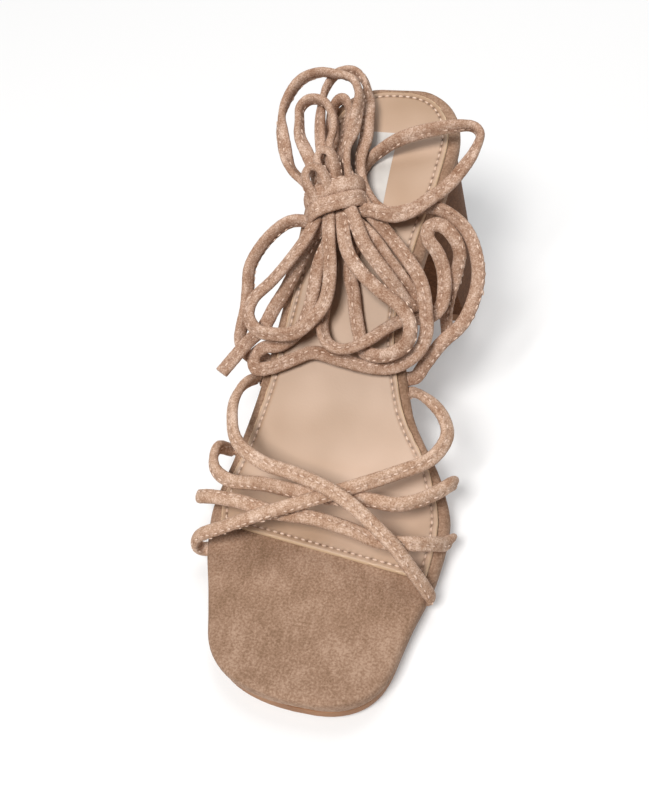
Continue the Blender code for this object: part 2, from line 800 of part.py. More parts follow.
def settled_laces():
    """Path of each lace, eased clear of everything else, thinned out for its tube."""
    paths = [lace_path(lace) for lace in LACES.values()]
    held = []
    for lace, path in zip(LACES.values(), paths):
        stays = np.zeros(len(path), bool)
        stays[:CORD_HELD] = True
        stays[-CORD_HELD:] = lace.end is not None
        held.append(stays)
    settled = ease_apart(paths, np.concatenate(held))
    return dict(zip(LACES, settled))


def build_lace(name, path):
    """Tube along a cord's path."""
    first = CORD_HELD - 1
    last = len(path) - CORD_HELD
    middle = np.linspace(first, last, round((last - first) / CORD_KEEP) + 1).round().astype(int)
    rows = path[[0, *middle, len(path) - 1]]
    curve = bpy.data.curves.new(name, "CURVE")
    curve.dimensions = "3D"
    curve.bevel_depth = CORD / 2 * MM
    curve.bevel_resolution = 2
    curve.use_fill_caps = True
    spline = curve.splines.new("POLY")
    spline.points.add(len(rows) - 1)
    for point, (x, y, z) in zip(spline.points, rows):
        point.co = ((x + SHIFT_X) * MM, (y + SHIFT_Y) * MM, z * MM, 1.0)
    curve.materials.append(material(name, SUEDE_CORD))
    piece = bpy.data.objects.new(name, curve)
    bpy.context.collection.objects.link(piece)
    return piece


def build_knot():
    """Turns of cord round the bundle, as one barrel."""
    centre, across, heelward, out = knot_frame()
    rings = []
    for share in np.linspace(0.0, 1.0, 4 * KNOT_BANDS + 1):
        swell = abs(math.sin(math.pi * KNOT_BANDS * share))
        size = KNOT_WAIST + (1 - KNOT_WAIST) * swell
        ring = []
        for i in range(KNOT_SIDES):
            turn = 2 * math.pi * i / KNOT_SIDES
            x = math.copysign(abs(math.cos(turn)) ** (2 / KNOT_SQUARENESS), math.cos(turn))
            z = math.copysign(abs(math.sin(turn)) ** (2 / KNOT_SQUARENESS), math.sin(turn))
            place = centre + heelward * KNOT_LONG * (share - 0.5)
            place = place + across * x * size * KNOT_WIDE / 2 + out * z * size * KNOT_THICK / 2
            ring.append(tuple(place))
        rings.append(ring)
    return finish("lace_knot", loft(rings), SUEDE_CORD, 50)


def clear_scene():
    for piece in list(bpy.data.objects):
        bpy.data.objects.remove(piece, do_unlink=True)


def main():
    clear_scene()
    build_outsole()
    build_footbed()
    build_sock()
    build_heel()
    build_top_piece()
    build_upper()
    for name, path in settled_laces().items():
        build_lace(name, path)
    build_knot()


main()
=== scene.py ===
import math

import bmesh
import bpy
import numpy as np
from mathutils import Matrix, Vector


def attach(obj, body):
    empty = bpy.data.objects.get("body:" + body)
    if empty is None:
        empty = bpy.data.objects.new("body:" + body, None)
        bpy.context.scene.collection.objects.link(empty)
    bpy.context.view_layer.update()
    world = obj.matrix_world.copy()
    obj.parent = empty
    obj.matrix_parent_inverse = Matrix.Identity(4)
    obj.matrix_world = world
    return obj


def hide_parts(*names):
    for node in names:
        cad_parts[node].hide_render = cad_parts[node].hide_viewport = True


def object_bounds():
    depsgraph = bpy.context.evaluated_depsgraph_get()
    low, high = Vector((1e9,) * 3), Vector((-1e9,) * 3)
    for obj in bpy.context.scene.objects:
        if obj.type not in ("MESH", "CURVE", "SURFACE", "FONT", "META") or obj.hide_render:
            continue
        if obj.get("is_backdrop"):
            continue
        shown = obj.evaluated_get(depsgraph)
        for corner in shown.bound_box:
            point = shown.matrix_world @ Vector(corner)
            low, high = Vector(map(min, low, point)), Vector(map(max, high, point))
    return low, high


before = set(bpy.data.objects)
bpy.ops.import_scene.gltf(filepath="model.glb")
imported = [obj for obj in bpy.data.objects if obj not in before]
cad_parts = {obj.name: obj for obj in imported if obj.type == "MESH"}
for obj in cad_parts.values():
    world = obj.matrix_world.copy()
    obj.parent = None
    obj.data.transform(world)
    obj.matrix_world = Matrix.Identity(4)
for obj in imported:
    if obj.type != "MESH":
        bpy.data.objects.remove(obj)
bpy.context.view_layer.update()  # the packed sandal, which everything below is built around
body = "root"
mm = 0.001
print("frame:", len(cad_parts), "nodes")

# Camera and studio

studio = {
    "cameraPlace": (93.5, -227.8, 341.5),  # mm, where the picture was taken from
    "cameraAim": (-5.2, -9.1, 38.0),
    "cameraRoll": -13.0,  # degrees
    "lens": 47.0,
    "clipStart": 0.01,  # m
    "floorHalf": 2.5,  # m
    "floorColour": "#D4D5D6",
    "floorRoughness": 0.7,
    "floorGlow": 0.25,  # lit from below, as on a light table
    "worldStrength": 0.14,
    # name, place (m), aim (m), size (m), power (W), colour
    "lamps": [
        ("keySoftbox", (-0.22, -0.92, 1.8), (0.0, 0.0, 0.04), 0.7, 39.0, "#FFFCF9"),
        ("topSoftbox", (0.1, 1.0, 1.8), (0.0, 0.0, 0.04), 1.2, 15.0, "#FFFFFF"),
    ],
}


def linear(hexColour):  # sRGB hex to the linear colour that shaders take
    parts = [int(hexColour[i:i + 2], 16) / 255 for i in (1, 3, 5)]
    return tuple(p / 12.92 if p <= 0.04045 else ((p + 0.055) / 1.055) ** 2.4 for p in parts) + (1.0,)


def setUp(node, settings):
    for key, value in settings.items():
        if isinstance(key, int) or key in node.inputs:
            node.inputs[key].default_value = value
        else:
            setattr(node, key, value)


def addNode(tree, kind, settings=None, links=None):
    node = tree.nodes.new(kind)
    setUp(node, settings or {})
    for key, socket in (links or {}).items():
        tree.links.new(socket, node.inputs[key])
    return node


def newMaterial(name, settings):
    mat = bpy.data.materials.new(name)
    mat.use_nodes = True
    shader = mat.node_tree.nodes["Principled BSDF"]
    setUp(shader, settings)
    return mat, mat.node_tree, shader


def addObject(name, data):
    thing = bpy.data.objects.new(name, data)
    bpy.context.scene.collection.objects.link(thing)
    return thing


def aimAt(thing, place, aim):
    thing.location = Vector(place)
    thing.rotation_euler = (Vector(aim) - Vector(place)).to_track_quat("-Z", "Y").to_euler()


scene = bpy.context.scene
cameraData = bpy.data.cameras.new("camera")
cameraData.lens = studio["lens"]
cameraData.clip_start = studio["clipStart"]
camera = addObject("camera", cameraData)
aimAt(camera, Vector(studio["cameraPlace"]) * mm, Vector(studio["cameraAim"]) * mm)
camera.rotation_euler.rotate_axis("Z", math.radians(studio["cameraRoll"]))
scene.camera = camera
scene.view_settings.view_transform = "Standard"
for name, place, aim, size, power, colour in studio["lamps"]:
    lamp = bpy.data.lights.new(name, "AREA")
    lamp.size = size
    lamp.energy = power
    lamp.color = linear(colour)[:3]
    aimAt(addObject(name, lamp), place, aim)
white = linear("#FFFFFF")
world = bpy.data.worlds.new("studioWorld")
world.use_nodes = True
setUp(world.node_tree.nodes["Background"], {"Color": white, "Strength": studio["worldStrength"]})
scene.world = world
bm = bmesh.new()
bmesh.ops.create_grid(bm, x_segments=1, y_segments=1, size=studio["floorHalf"])
mesh = bpy.data.meshes.new("floor")
bm.to_mesh(mesh)
bm.free()
mesh.materials.append(newMaterial("paleFloor", {
    "Base Color": linear(studio["floorColour"]), "Roughness": studio["floorRoughness"],
    "Emission Color": white, "Emission Strength": studio["floorGlow"]})[0])
floor = addObject("floor", mesh)
floor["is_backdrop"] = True
print("studio: camera,", len(studio["lamps"]), "lamps and a floor")

# Materials: the scales of noise are per metre, a bump is its strength and its depth in metres;
# nap, pores and grit are finer on a real shoe, and are drawn as coarse as they need to show

pile = {"detail": 3.0, "strokes": (380.0, 2.0),  # strokes 2.6 mm wide
        "strokeStretch": (1.0, 0.4, 1.0), "strokeTurn": (0.0, 0.0, 0.5), "strokeShare": 0.4,
        "grainShare": 0.52, "bump": (0.6, 0.0003),
        "shader": {"Roughness": 0.92, "Specular IOR Level": 0.2, "Sheen Weight": 0.14,
                   "Sheen Roughness": 0.45, "Sheen Tint": linear("#F2D9C9")}}
coarseGrain = (1000 / 0.85, 2.0, 0.65)  # scale, detail and roughness of the noise
fineGrain = (1000 / 0.6, 2.0, 0.65)
finishes = {
    # napped microfibre suede: a brushed pile that scatters light, with darker and lighter strokes;
    # a sewn seam, where the piece has one, has painted shade in its groove and its needle holes
    "footbedSuede": dict(pile, ramp={0.37: "#7F644E", 0.5: "#977964", 0.63: "#B0937E"},
                         clouds=1000 / 17.0, grain=coarseGrain, tints={"seamShade": "#6B4E3C"}),
    # the heel's orange-brown tan is painted darker than its own colour: painted shade for the shade under
    # the shoe
    "heelSuede": dict(pile, ramp={0.37: "#4F2F18", 0.5: "#643E23", 0.63: "#785033"},
                      clouds=1000 / 16.0, grain=coarseGrain, tints={"seamShade": "#3E2513"}),
    "strapSuede": dict(pile, ramp={0.37: "#9A765E", 0.5: "#BD9D86", 0.63: "#E0C6B3"},
                       clouds=1000 / 6.0, grain=fineGrain, tints={"seamShade": "#7E5A43"}),
    # the laces' suede is the straps' suede painted darker: painted shade against the stronger light on the
    # raised laces
    "cordSuede": dict(pile, ramp={0.37: "#8E6A53", 0.5: "#B1917C", 0.63: "#DAC0AE"},
                      clouds=1000 / 6.0, grain=fineGrain, tints={"seamShade": "#75523D"}),
    # smooth polyurethane on a knit backing: an even satin skin with a fine pebbled pore;
    # the cut edge is paler, and painted shade darkens the needle holes of the seam
    "sockPolyurethane": {"ramp": {0.35: "#AB8D73", 0.65: "#C2A690"}, "clouds": 1000 / 38.0, "detail": 2.0,
                         "tints": {"paleEdge": "#D6B999", "seamShade": "#5A3D2A"},
                         "pores": 1000 / 0.9, "bump": (0.12, 0.0001), "roughness": (0.4, 0.52),
                         "shader": {"IOR": 1.5, "Specular IOR Level": 0.4}},
    # moulded thermoplastic rubber: a matt skin with a faint sandy grit from the mould,
    # and paler clouds 17 mm wide
    "tanRubber": {"ramp": {0.35: "#8C6040", 0.65: "#A17450"}, "clouds": 60.0, "detail": 2.0,
                  "grain": (1000 / 0.8, 3.0), "bump": (0.3, 0.0001), "shader": {"Roughness": 0.62}},
    # twisted polyester thread: pale, with a soft gloss
    "peachThread": {"ramp": {0.3: "#CFB09A", 0.7: "#EAD2C0"}, "clouds": 1000 / 1.1, "detail": 1.0,
                    "shader": {"Roughness": 0.5}},
    # satin transfer foil: an off-white film with a cloudy silver sheen
    "labelFoil": {"ramp": {0.3: "#B4B0AC", 0.7: "#CECAC5"}, "clouds": 1000 / 11.0, "detail": 3.0,
                  "shader": {"Roughness": 0.42}},
}


def makeFinish(name):
    finish = finishes[name]
    mat, tree, shader = newMaterial(name, finish["shader"])
    place = addNode(tree, "ShaderNodeTexCoord").outputs["Object"]
    settings = {"Scale": finish["clouds"], "Detail": finish["detail"]}
    tone = clouds = addNode(tree, "ShaderNodeTexNoise", settings, {"Vector": place}).outputs[0]
    if "grain" in finish:
        settings = dict(zip(("Scale", "Detail", "Roughness"), finish["grain"]))
        height = addNode(tree, "ShaderNodeTexNoise", settings, {"Vector": place}).outputs[0]
    if "pores" in finish:
        pores = addNode(tree, "ShaderNodeTexVoronoi", {"Scale": finish["pores"]}, {"Vector": place})
        height = pores.outputs["Distance"]
    if "strokes" in finish:
        brush = {"Scale": finish["strokeStretch"], "Rotation": finish["strokeTurn"]}
        brushed = addNode(tree, "ShaderNodeMapping", brush, {"Vector": place}).outputs[0]
        settings = dict(zip(("Scale", "Detail"), finish["strokes"]))
        strokes = addNode(tree, "ShaderNodeTexNoise", settings, {"Vector": brushed}).outputs[0]
        for share, other in ((finish["strokeShare"], strokes), (finish["grainShare"], height)):
            tone = addNode(tree, "ShaderNodeMix", {"Factor": share}, {2: tone, 3: other}).outputs[0]
    ramp = addNode(tree, "ShaderNodeValToRGB", links={"Fac": tone})
    stops, spots = ramp.color_ramp.elements, sorted(finish["ramp"])
    while len(stops) < len(spots):
        stops.new(0.5)
    for stop, spot in zip(stops, spots):
        stop.position = spot
    for stop, spot in zip(stops, spots):  # the colours once all the stops are in order
        stop.color = linear(finish["ramp"][spot])
    colour = ramp.outputs[0]
    for attribute, tint in finish.get("tints", {}).items():  # mixed in where the mesh's attribute says so
        amount = addNode(tree, "ShaderNodeAttribute", {"attribute_name": attribute}).outputs["Fac"]
        settings = {"data_type": "RGBA", 7: linear(tint)}
        colour = addNode(tree, "ShaderNodeMix", settings, {0: amount, 6: colour}).outputs[2]
    tree.links.new(colour, shader.inputs["Base Color"])
    if "bump" in finish:
        settings = dict(zip(("Strength", "Distance"), finish["bump"]))
        bump = addNode(tree, "ShaderNodeBump", settings, {"Height": height})
        tree.links.new(bump.outputs["Normal"], shader.inputs["Normal"])
    if "roughness" in finish:
        settings = dict(zip(("To Min", "To Max"), finish["roughness"]))
        smudge = addNode(tree, "ShaderNodeMapRange", settings, {"Value": clouds})
        tree.links.new(smudge.outputs[0], shader.inputs["Roughness"])
    return mat


materials = {name: makeFinish(name) for name in finishes}
print("materials: suede, sock, rubber, thread and foil")

# The last, which every piece of the sole follows: millimetres, moved by shift into the frame

last = {
    "shift": (3.0, -1.5, 0.0),
    "along": [-113, -97, -78, -58, -42, -36, -22, 0, 25, 50, 75, 95, 116],
    "lateral": [-29.4, -32.7, -38.6, -45.2, -47.8, -47.6, -44.4, -38.3, -33.0, -30.0, -28.8, -28.6, -28.6],
    "medial": [32.0, 33.4, 36.9, 41.7, 42.8, 42.4, 37.2, 22.6, 16.6, 20.6, 25.9, 27.4, 27.4],
    "height": [13.8, 12.0, 11.0, 11.0, 11.0, 11.0, 15.6, 29.0, 47.0, 63.0, 75.0, 81.0, 85.0],
    "toe": -113.0, "toeRound": 22.0, "toeSquareness": 2.45, "toeMiddle": 7.0, "toeRows": 16,
    "back": 116.0, "heelRound": 30.0, "heelSquareness": 2.5, "heelMiddle": -0.5, "heelRows": 20,
    "endTurn": 0.1,  # radians, a rounded end stops short of its tip by this much
    "gap": 0.3,  # between pieces that are glued together
}


def smoothTable(xs, ys):  # a curve through a table that never overshoots its rows
    xs = np.asarray(xs, float)
    ys = np.asarray(ys, float)
    step = np.diff(xs)
    rise = np.diff(ys) / step
    slope = np.zeros(len(xs))
    slope[0] = rise[0]
    slope[-1] = rise[-1]
    for i in range(1, len(xs) - 1):
        if rise[i - 1] * rise[i] > 0:
            before = 2 * step[i] + step[i - 1]
            after = step[i] + 2 * step[i - 1]
            slope[i] = (before + after) / (before / rise[i - 1] + after / rise[i])

    def value(x):
        x = np.asarray(x, float)
        i = np.clip(np.searchsorted(xs, x) - 1, 0, len(step) - 1)
        t = (x - xs[i]) / step[i]
        bend = 3 * t ** 2 - 2 * t ** 3
        pull = slope[i] * (t ** 3 - 2 * t ** 2 + t) + slope[i + 1] * (t ** 3 - t ** 2)
        return ys[i] + (ys[i + 1] - ys[i]) * bend + step[i] * pull

    return value


lateralOf = smoothTable(last["along"], last["lateral"])
medialOf = smoothTable(last["along"], last["medial"])
heightOf = smoothTable(last["along"], last["height"])


def between(start, end, share):
    return start + (end - start) * share


def roundOff(share, squareness):  # width that is left at a share of the way into a rounded end
    return (1 - share ** squareness) ** (1 / squareness)


def edgesAt(along, inset=0.0):  # outer and inner edge of the last, drawn in by an inset
    along = np.asarray(along, float)
    front = np.clip((last["toe"] + inset + last["toeRound"] - along) / last["toeRound"], 0, 1)
    rear = np.clip((along - last["back"] + inset + last["heelRound"]) / last["heelRound"], 0, 1)
    left = roundOff(front, last["toeSquareness"]) * roundOff(rear, last["heelSquareness"])
    middle = np.where(front > 0, last["toeMiddle"], np.where(rear > 0, last["heelMiddle"], 0.0))
    return between(middle, lateralOf(along) + inset, left), between(middle, medialOf(along) - inset, left)


def slopeAt(along):  # rise for each millimetre along the floor
    along = np.asarray(along)
    return heightOf(along + 0.5) - heightOf(along - 0.5)


def steepAt(along):  # length along the slope for each millimetre along the floor
    return np.hypot(1.0, slopeAt(along))


def inFrame(points):
    return (np.asarray(points, float) + last["shift"]) * mm


def crowded(start, length, count, towards):  # stations that crowd together at a rounded end
    angles = np.linspace(last["endTurn"], math.pi / 2, count)
    return [start + towards * length * (1 - math.cos(a)) for a in angles]


def stationsBetween(toe, back, step):
    rows, first, final = [], toe, back
    if toe < last["toe"] + last["toeRound"] / 2:
        rows = crowded(toe, last["toeRound"], last["toeRows"], 1)
        first = rows[-1]
    if back > last["back"] - last["heelRound"] / 2:
        final = back - last["heelRound"]
    rows = rows[:-1] + list(np.linspace(first, final, max(2, round((final - first) / step))))
    if final < back:
        rows += crowded(back, last["heelRound"], last["heelRows"], -1)[::-1][1:]
    return rows


# Small helpers for curves and meshes

def bell(distance, wide):
    return np.exp(-(distance / wide) ** 2)


def lengths(rows):
    return np.linalg.norm(rows, axis=-1)


def runAlong(line):  # length along a line up to each of its points
    return np.concatenate([[0.0], np.cumsum(lengths(np.diff(line, axis=0)))])


def pointsAt(marks, run, line):  # points of a line at given lengths along it
    return np.column_stack([np.interp(marks, run, column) for column in line.T])


def loftRings(bm, rings, shades=None):
    # rings of points joined into a closed skin; shades are painted shade, darkening the seam's groove where
    # a ring is sewn
    layer = bm.verts.layers.float.get("seamShade")
    ring = bmesh.ops.create_circle(bm, segments=len(rings[0]), radius=1.0)["verts"]
    loop = list(dict.fromkeys(edge for vert in ring for edge in vert.link_edges))
    firstLoop = loop
    for row, points in enumerate(rings):
        if row:
            made = bmesh.ops.extrude_edge_only(bm, edges=loop)["geom"]
            fresh = {item for item in made if isinstance(item, bmesh.types.BMVert)}
            beside = [[edge.other_vert(vert) for edge in vert.link_edges] for vert in ring]
            ring = [next(vert for vert in verts if vert in fresh) for verts in beside]
            edges = [item for item in made if isinstance(item, bmesh.types.BMEdge)]
            loop = [edge for edge in edges if set(edge.verts) <= fresh]
        for i, vert in enumerate(ring):
            vert.co = points[i]
            if shades is not None:
                vert[layer] = shades[row][i]
    bmesh.ops.contextual_create(bm, geom=firstLoop)
    bmesh.ops.contextual_create(bm, geom=loop)


def makePiece(name, bm, material, replaced=(), sharpDegrees=50):
    bmesh.ops.recalc_face_normals(bm, faces=bm.faces[:])
    mesh = bpy.data.meshes.new(name)
    bm.to_mesh(mesh)
    bm.free()
    mesh.shade_smooth()
    mesh.set_sharp_from_angle(angle=math.radians(sharpDegrees))
    mesh.materials.append(materials[material])
    piece = addObject(name, mesh)
    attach(piece, body)
    if replaced:
        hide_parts(*replaced)
    print("piece:", name, len(mesh.polygons), "faces")
    return piece


def loftPiece(name, rings, material, replaced):
    bm = bmesh.new()
    loftRings(bm, rings)
    return makePiece(name, bm, material, replaced)


def cornerArc(x, z, radius, start, steps):  # quarter turn, clockwise from a start angle in degrees
    turns = np.radians(start - 90 * np.arange(steps + 1) / steps)
    return list(zip(x + radius * np.cos(turns), z + radius * np.sin(turns)))


slab = {"edgeOfHeight": 0.49, "edgeOfWidth": 0.3}  # an edge's radius takes at most these shares


def slabRing(along, edges, top, bottom, look):
    lateral, medial = (float(edge) for edge in edges)
    across, steps = look["across"], look["edgeSteps"]
    r = min(look["edge"], (top - bottom) * slab["edgeOfHeight"], (medial - lateral) * slab["edgeOfWidth"])
    row = [lateral + r + (medial - lateral - 2 * r) * i / across for i in range(1, across)]
    profile = cornerArc(lateral + r, top - r, r, 180, steps) + [(x, top) for x in row]
    profile += cornerArc(medial - r, top - r, r, 90, steps) + cornerArc(medial - r, bottom + r, r, 0, steps)
    profile += [(x, bottom) for x in row[::-1]] + cornerArc(lateral + r, bottom + r, r, -90, steps)
    return inFrame([(x, along, z) for x, z in profile])


# Footbed: a board wrapped in suede, its edge rolled over

footbed = {"thick": 6.5, "edge": 2.6, "step": 2.4, "edgeSteps": 6, "across": 18}


def footbedUnder(along):
    return float(heightOf(along) - footbed["thick"] * steepAt(along))


rings = []
edge = footbed["edge"]
for along in stationsBetween(last["toe"], last["back"], footbed["step"]):
    inside = min(along - last["toe"], last["back"] - along, edge)
    dip = edge - math.sqrt(edge ** 2 - (edge - inside) ** 2)
    top = float(heightOf(along)) - dip
    rings.append(slabRing(along, edgesAt(along), top, footbedUnder(along) + dip, footbed))
loftPiece("footbed_wrap", rings, "footbedSuede", ["footbed"])

# Outsole

outsole = {"along": [-113, -78, -36, 0, 60], "thick": [4.0, 4.2, 4.2, 3.0, 2.4],
           "inset": [0.4, 1.5, 1.6, 1.3, 0.9], "end": 58.5,
           "edge": 0.8, "step": 3.0, "edgeSteps": 3, "across": 14}
outsoleThick = smoothTable(outsole["along"], outsole["thick"])
outsoleInset = smoothTable(outsole["along"], outsole["inset"])

rings = []
for along in stationsBetween(last["toe"] + outsole["inset"][0], outsole["end"], outsole["step"]):
    top = footbedUnder(along) - last["gap"] / 2
    bottom = footbedUnder(along) - last["gap"] - float(outsoleThick(along) * steepAt(along))
    rings.append(slabRing(along, edgesAt(along, outsoleInset(along)), top, bottom, outsole))
loftPiece("outsole_unit", rings, "tanRubber", ["outsole"])

# Heel block and its top piece

heel = {"floorBreast": 69.5, "floorBack": 112.0, "seatBreast": 59.5, "seatBack": 114.5,
        "floorLateral": -33.5, "floorMedial": 34.0, "breastNarrow": 3.2, "round": 0.62, "squareness": 2.5,
        "seatInset": 0.9, "seatFull": 0.45, "topPiece": 5.0, "topPieceShare": 0.05, "bevel": 0.0009,
        "bevelAngle": 50, "across": 8, "rows": 14, "flatRows": 8, "roundRows": 22}


def heelRing(share, low, high, rows):  # a section of the block at a share of its depth, breast to back
    start = max(0.0, (share - 1 + heel["round"]) / heel["round"])
    left = roundOff(start, heel["squareness"])
    narrow = heel["breastNarrow"] * (1 - share)
    seatAlong = between(heel["seatBreast"], heel["seatBack"], min(share, heel["seatFull"]))
    floorEdges = (heel["floorLateral"] + narrow, heel["floorMedial"] - narrow)
    floorToSeat = list(zip(floorEdges, (float(edge) for edge in edgesAt(seatAlong, heel["seatInset"]))))

    def place(side, up):
        breast = between(heel["floorBreast"], heel["seatBreast"], up)
        back = between(heel["floorBack"], heel["seatBack"], up)
        along = between(breast, back, share)
        edges = [between(last["heelMiddle"], between(*edge, up), left) for edge in floorToSeat]
        return between(*edges, side), along, up * (footbedUnder(along) - last["gap"])

    heights = np.linspace(low, high, rows)
    sides = [i / heel["across"] for i in range(1, heel["across"])]
    ring = [place(0, up) for up in heights] + [place(side, high) for side in sides]
    return ring + [place(1, up) for up in heights[::-1]] + [place(side, low) for side in sides[::-1]]


def heelShares():
    flat = list(np.linspace(0, 1 - heel["round"], heel["flatRows"]))
    return flat + crowded(1, heel["round"], heel["roundRows"], -1)[::-1][1:]


def addBevel(piece, width, segments):
    bevel = piece.modifiers.new("softEdge", "BEVEL")
    bevel.width = width
    bevel.segments = segments
    bevel.limit_method = "ANGLE"
    bevel.angle_limit = math.radians(heel["bevelAngle"])


cut = (heel["topPiece"] + last["gap"] / 2) / (footbedUnder(heel["floorBreast"]) - last["gap"])
rings = [inFrame(heelRing(share, cut, 1.0, heel["rows"])) for share in heelShares()]
block = loftPiece("heel_cover", rings, "heelSuede", ["heel"])
addBevel(block, heel["bevel"], segments=3)
rings = []
for share in heelShares():
    ring = heelRing(share, 0.0, heel["topPieceShare"], rows=2)
    low = min(p[2] for p in ring)
    rings.append(inFrame([(x, y, 0.0 if z == low else heel["topPiece"]) for x, y, z in ring]))
top = loftPiece("heel_top_lift", rings, "tanRubber", ["heel_top_piece"])
addBevel(top, heel["bevel"] / 2, segments=2)

# Sock: a thin skin with a stitched edge

sock = {"front": -56.0, "skew": -0.135, "squareBy": -20.0, "inset": 4.0, "thick": 1.2, "rows": 250,
        "columns": 84, "frontCrowd": 0.35, "sideCrowd": 0.6, "weld": 0.00001, "sharp": 60,
        "frontMarks": 40, "sideMarks": 400, "outlineMarks": 900,
        "stitchIn": 2.1, "groove": 0.25, "grooveWide": 0.7, "roll": 0.7, "rollDeep": 0.75, "paleEdge": 0.45,
        "holeWide": 0.6, "holeShade": 0.9, "stitchReach": 0.8, "stitchLift": 0.15,
        "stitchPitch": 2.8, "stitchLong": 1.9, "stitchWide": 0.8, "stitchHigh": 0.7}


def sockTop(along):
    return heightOf(along) + (last["gap"] + sock["thick"]) * steepAt(along)


def sockPlan(share, side):  # place on the sock: front (0) to back (1), outer (0) to inner side (1)
    # the rows lie closer at both ends, and closest at the back
    bothEnds = (1 - np.cos(share * math.pi)) / 2
    atBack = np.sin(share * math.pi / 2)
    share = sock["frontCrowd"] * bothEnds + (1 - sock["frontCrowd"]) * atBack
    along = between(sock["front"], last["back"] - sock["inset"], share)
    lateral, medial = edgesAt(along, sock["inset"])
    across = between(lateral, medial, side)
    skew = sock["skew"] * np.clip((sock["squareBy"] - along) / (sock["squareBy"] - sock["front"]), 0, 1)
    return across, along + skew * across


def sockOutline(inset=0.0):  # closed line round the sock, drawn in by an inset
    share = np.linspace(0, 1, sock["sideMarks"])
    lateral, medial = (np.column_stack(sockPlan(share, side)) for side in (0.0, 1.0))
    front = np.column_stack(sockPlan(0.0, np.linspace(0, 1, sock["frontMarks"])))
    line = np.vstack([front, medial[1:], lateral[::-1][1:]])
    run = runAlong(line)
    line = pointsAt(np.linspace(0.0, run[-1], sock["outlineMarks"]), run, line)
    if inset:
        ahead = np.roll(line[:-1], -2, axis=0) - np.roll(line[:-1], 2, axis=0)
        normal = np.column_stack([-ahead[:, 1], ahead[:, 0]]) / lengths(ahead)[:, None]
        line = line[:-1] + normal * inset
        line = np.vstack([line, line[:1]])
    return line


def sockRelief(distance):  # how far the skin lies below its full thickness, by its distance to the edge
    rolled = 1 - np.sqrt(np.clip(1 - (1 - np.clip(distance / sock["roll"], 0, 1)) ** 2, 0, 1))
    groove = bell(distance - sock["stitchIn"], sock["grooveWide"])
    return rolled * sock["thick"] * sock["rollDeep"] + groove * sock["groove"]


def sockStitchLine():  # the seam's line on the sock, its run of lengths and the number of stitches
    line = sockOutline(sock["stitchIn"])
    height = sockTop(line[:, 1]) - sockRelief(np.full(len(line), sock["stitchIn"])) * steepAt(line[:, 1])
    line = np.column_stack([line, height])
    run = runAlong(line)
    return line, run, round(run[-1] / sock["stitchPitch"])


def makeSock():
    bm = bmesh.new()
    seamLayer = bm.verts.layers.float.new("seamShade")
    edgeLayer = bm.verts.layers.float.new("paleEdge")
    bmesh.ops.create_grid(bm, x_segments=sock["columns"], y_segments=sock["rows"], size=0.5)
    made = bmesh.ops.extrude_face_region(bm, geom=bm.faces[:], use_keep_orig=True)["geom"]
    upper = [item for item in made if isinstance(item, bmesh.types.BMVert)]
    onTop = set(upper)
    lower = [vert for vert in bm.verts if vert not in onTop]
    outline = sockOutline()
    run, count = sockStitchLine()[1:]
    for verts in (upper, lower):
        places = np.array([vert.co for vert in verts])
        side = places[:, 0] + 0.5
        # the columns lie closer near both edges
        side = 0.5 - np.cos(side * math.pi) / 2 * sock["sideCrowd"] + (side - 0.5) * (1 - sock["sideCrowd"])
        across, along = sockPlan(np.clip(places[:, 1] + 0.5, 0, 1), np.clip(side, 0, 1))
        height = heightOf(along) + last["gap"] / 3 * steepAt(along)
        seam = np.zeros(len(verts))
        pale = np.ones(len(verts))
        if verts is upper:
            far = np.array([np.hypot(*(outline - p).T) for p in np.column_stack([across, along])])
            distance = far.min(axis=1)
            phase = run[far.argmin(axis=1) % len(run)] / run[-1] * count
            # painted shade: the needle holes along the stitched seam are darkened in colour
            beside = bell(distance - sock["stitchIn"], sock["holeWide"])
            seam = sock["holeShade"] * beside * (0.5 + 0.5 * np.cos(2 * math.pi * phase)) ** 2
            pale = np.clip(1.5 - distance / sock["paleEdge"], 0, 1)
            height = sockTop(along) - sockRelief(distance) * steepAt(along)
        rows = inFrame(np.column_stack([across, along, height]))
        for vert, place, dark, light in zip(verts, rows, seam, pale):
            vert.co = place
            vert[seamLayer] = dark
            vert[edgeLayer] = light
    bmesh.ops.remove_doubles(bm, verts=bm.verts[:], dist=sock["weld"])
    makePiece("sock_skin", bm, "sockPolyurethane", ["sock"], sock["sharp"])


makeSock()

# Stitches: small rounded lengths of thread

thread = {"segments": 8, "rings": 5, "batch": 50, "sharp": 80}


def stitchAt(place, run, out, look):  # where one rounded stitch lies on a surface, and its size
    run = Vector(run).normalized()
    side = Vector(out).cross(run).normalized()
    turn = Matrix((run, side, run.cross(side))).transposed().to_4x4()
    size = Matrix.Diagonal((look["stitchLong"] / 2, look["stitchWide"] / 2, look["stitchHigh"] / 2, 1.0))
    return Matrix.Translation(place) @ turn @ size


def makeStitches(name, stitches):  # small batches joined, far quicker than one growing mesh
    bm = bmesh.new()
    for start in range(0, len(stitches), thread["batch"]):
        batch = bmesh.new()
        for turned in stitches[start:start + thread["batch"]]:
            bmesh.ops.create_uvsphere(batch, u_segments=thread["segments"], v_segments=thread["rings"],
                                      radius=mm, matrix=turned)
        mesh = bpy.data.meshes.new("stitchBatch")
        batch.to_mesh(mesh)
        batch.free()
        bm.from_mesh(mesh)
        bpy.data.meshes.remove(mesh)
    return makePiece(name, bm, "peachThread", sharpDegrees=thread["sharp"])


line, run, count = sockStitchLine()
reach = np.array([-sock["stitchReach"], 0.0, sock["stitchReach"]])
stitches = []
for i in range(count):
    before, middle, after = pointsAt((i + 0.5) * run[-1] / count + reach, run, line)
    out = Vector((0.0, -float(slopeAt(middle[1])), 1.0))
    place = inFrame(middle) + np.array(out.normalized()) * sock["stitchLift"] * mm
    stitches.append(stitchAt(place, after - before, out, sock))
makeStitches("sock_stitches", stitches)

# Label: a bare foil patch on the heel of the sock

label = {"middle": (-7.1, 76.75), "wide": 19.8, "long": 30.5, "turn": -2.0, "lift": 0.12,
         "columns": 14, "rows": 20, "thick": 0.00012, "sharp": 40}

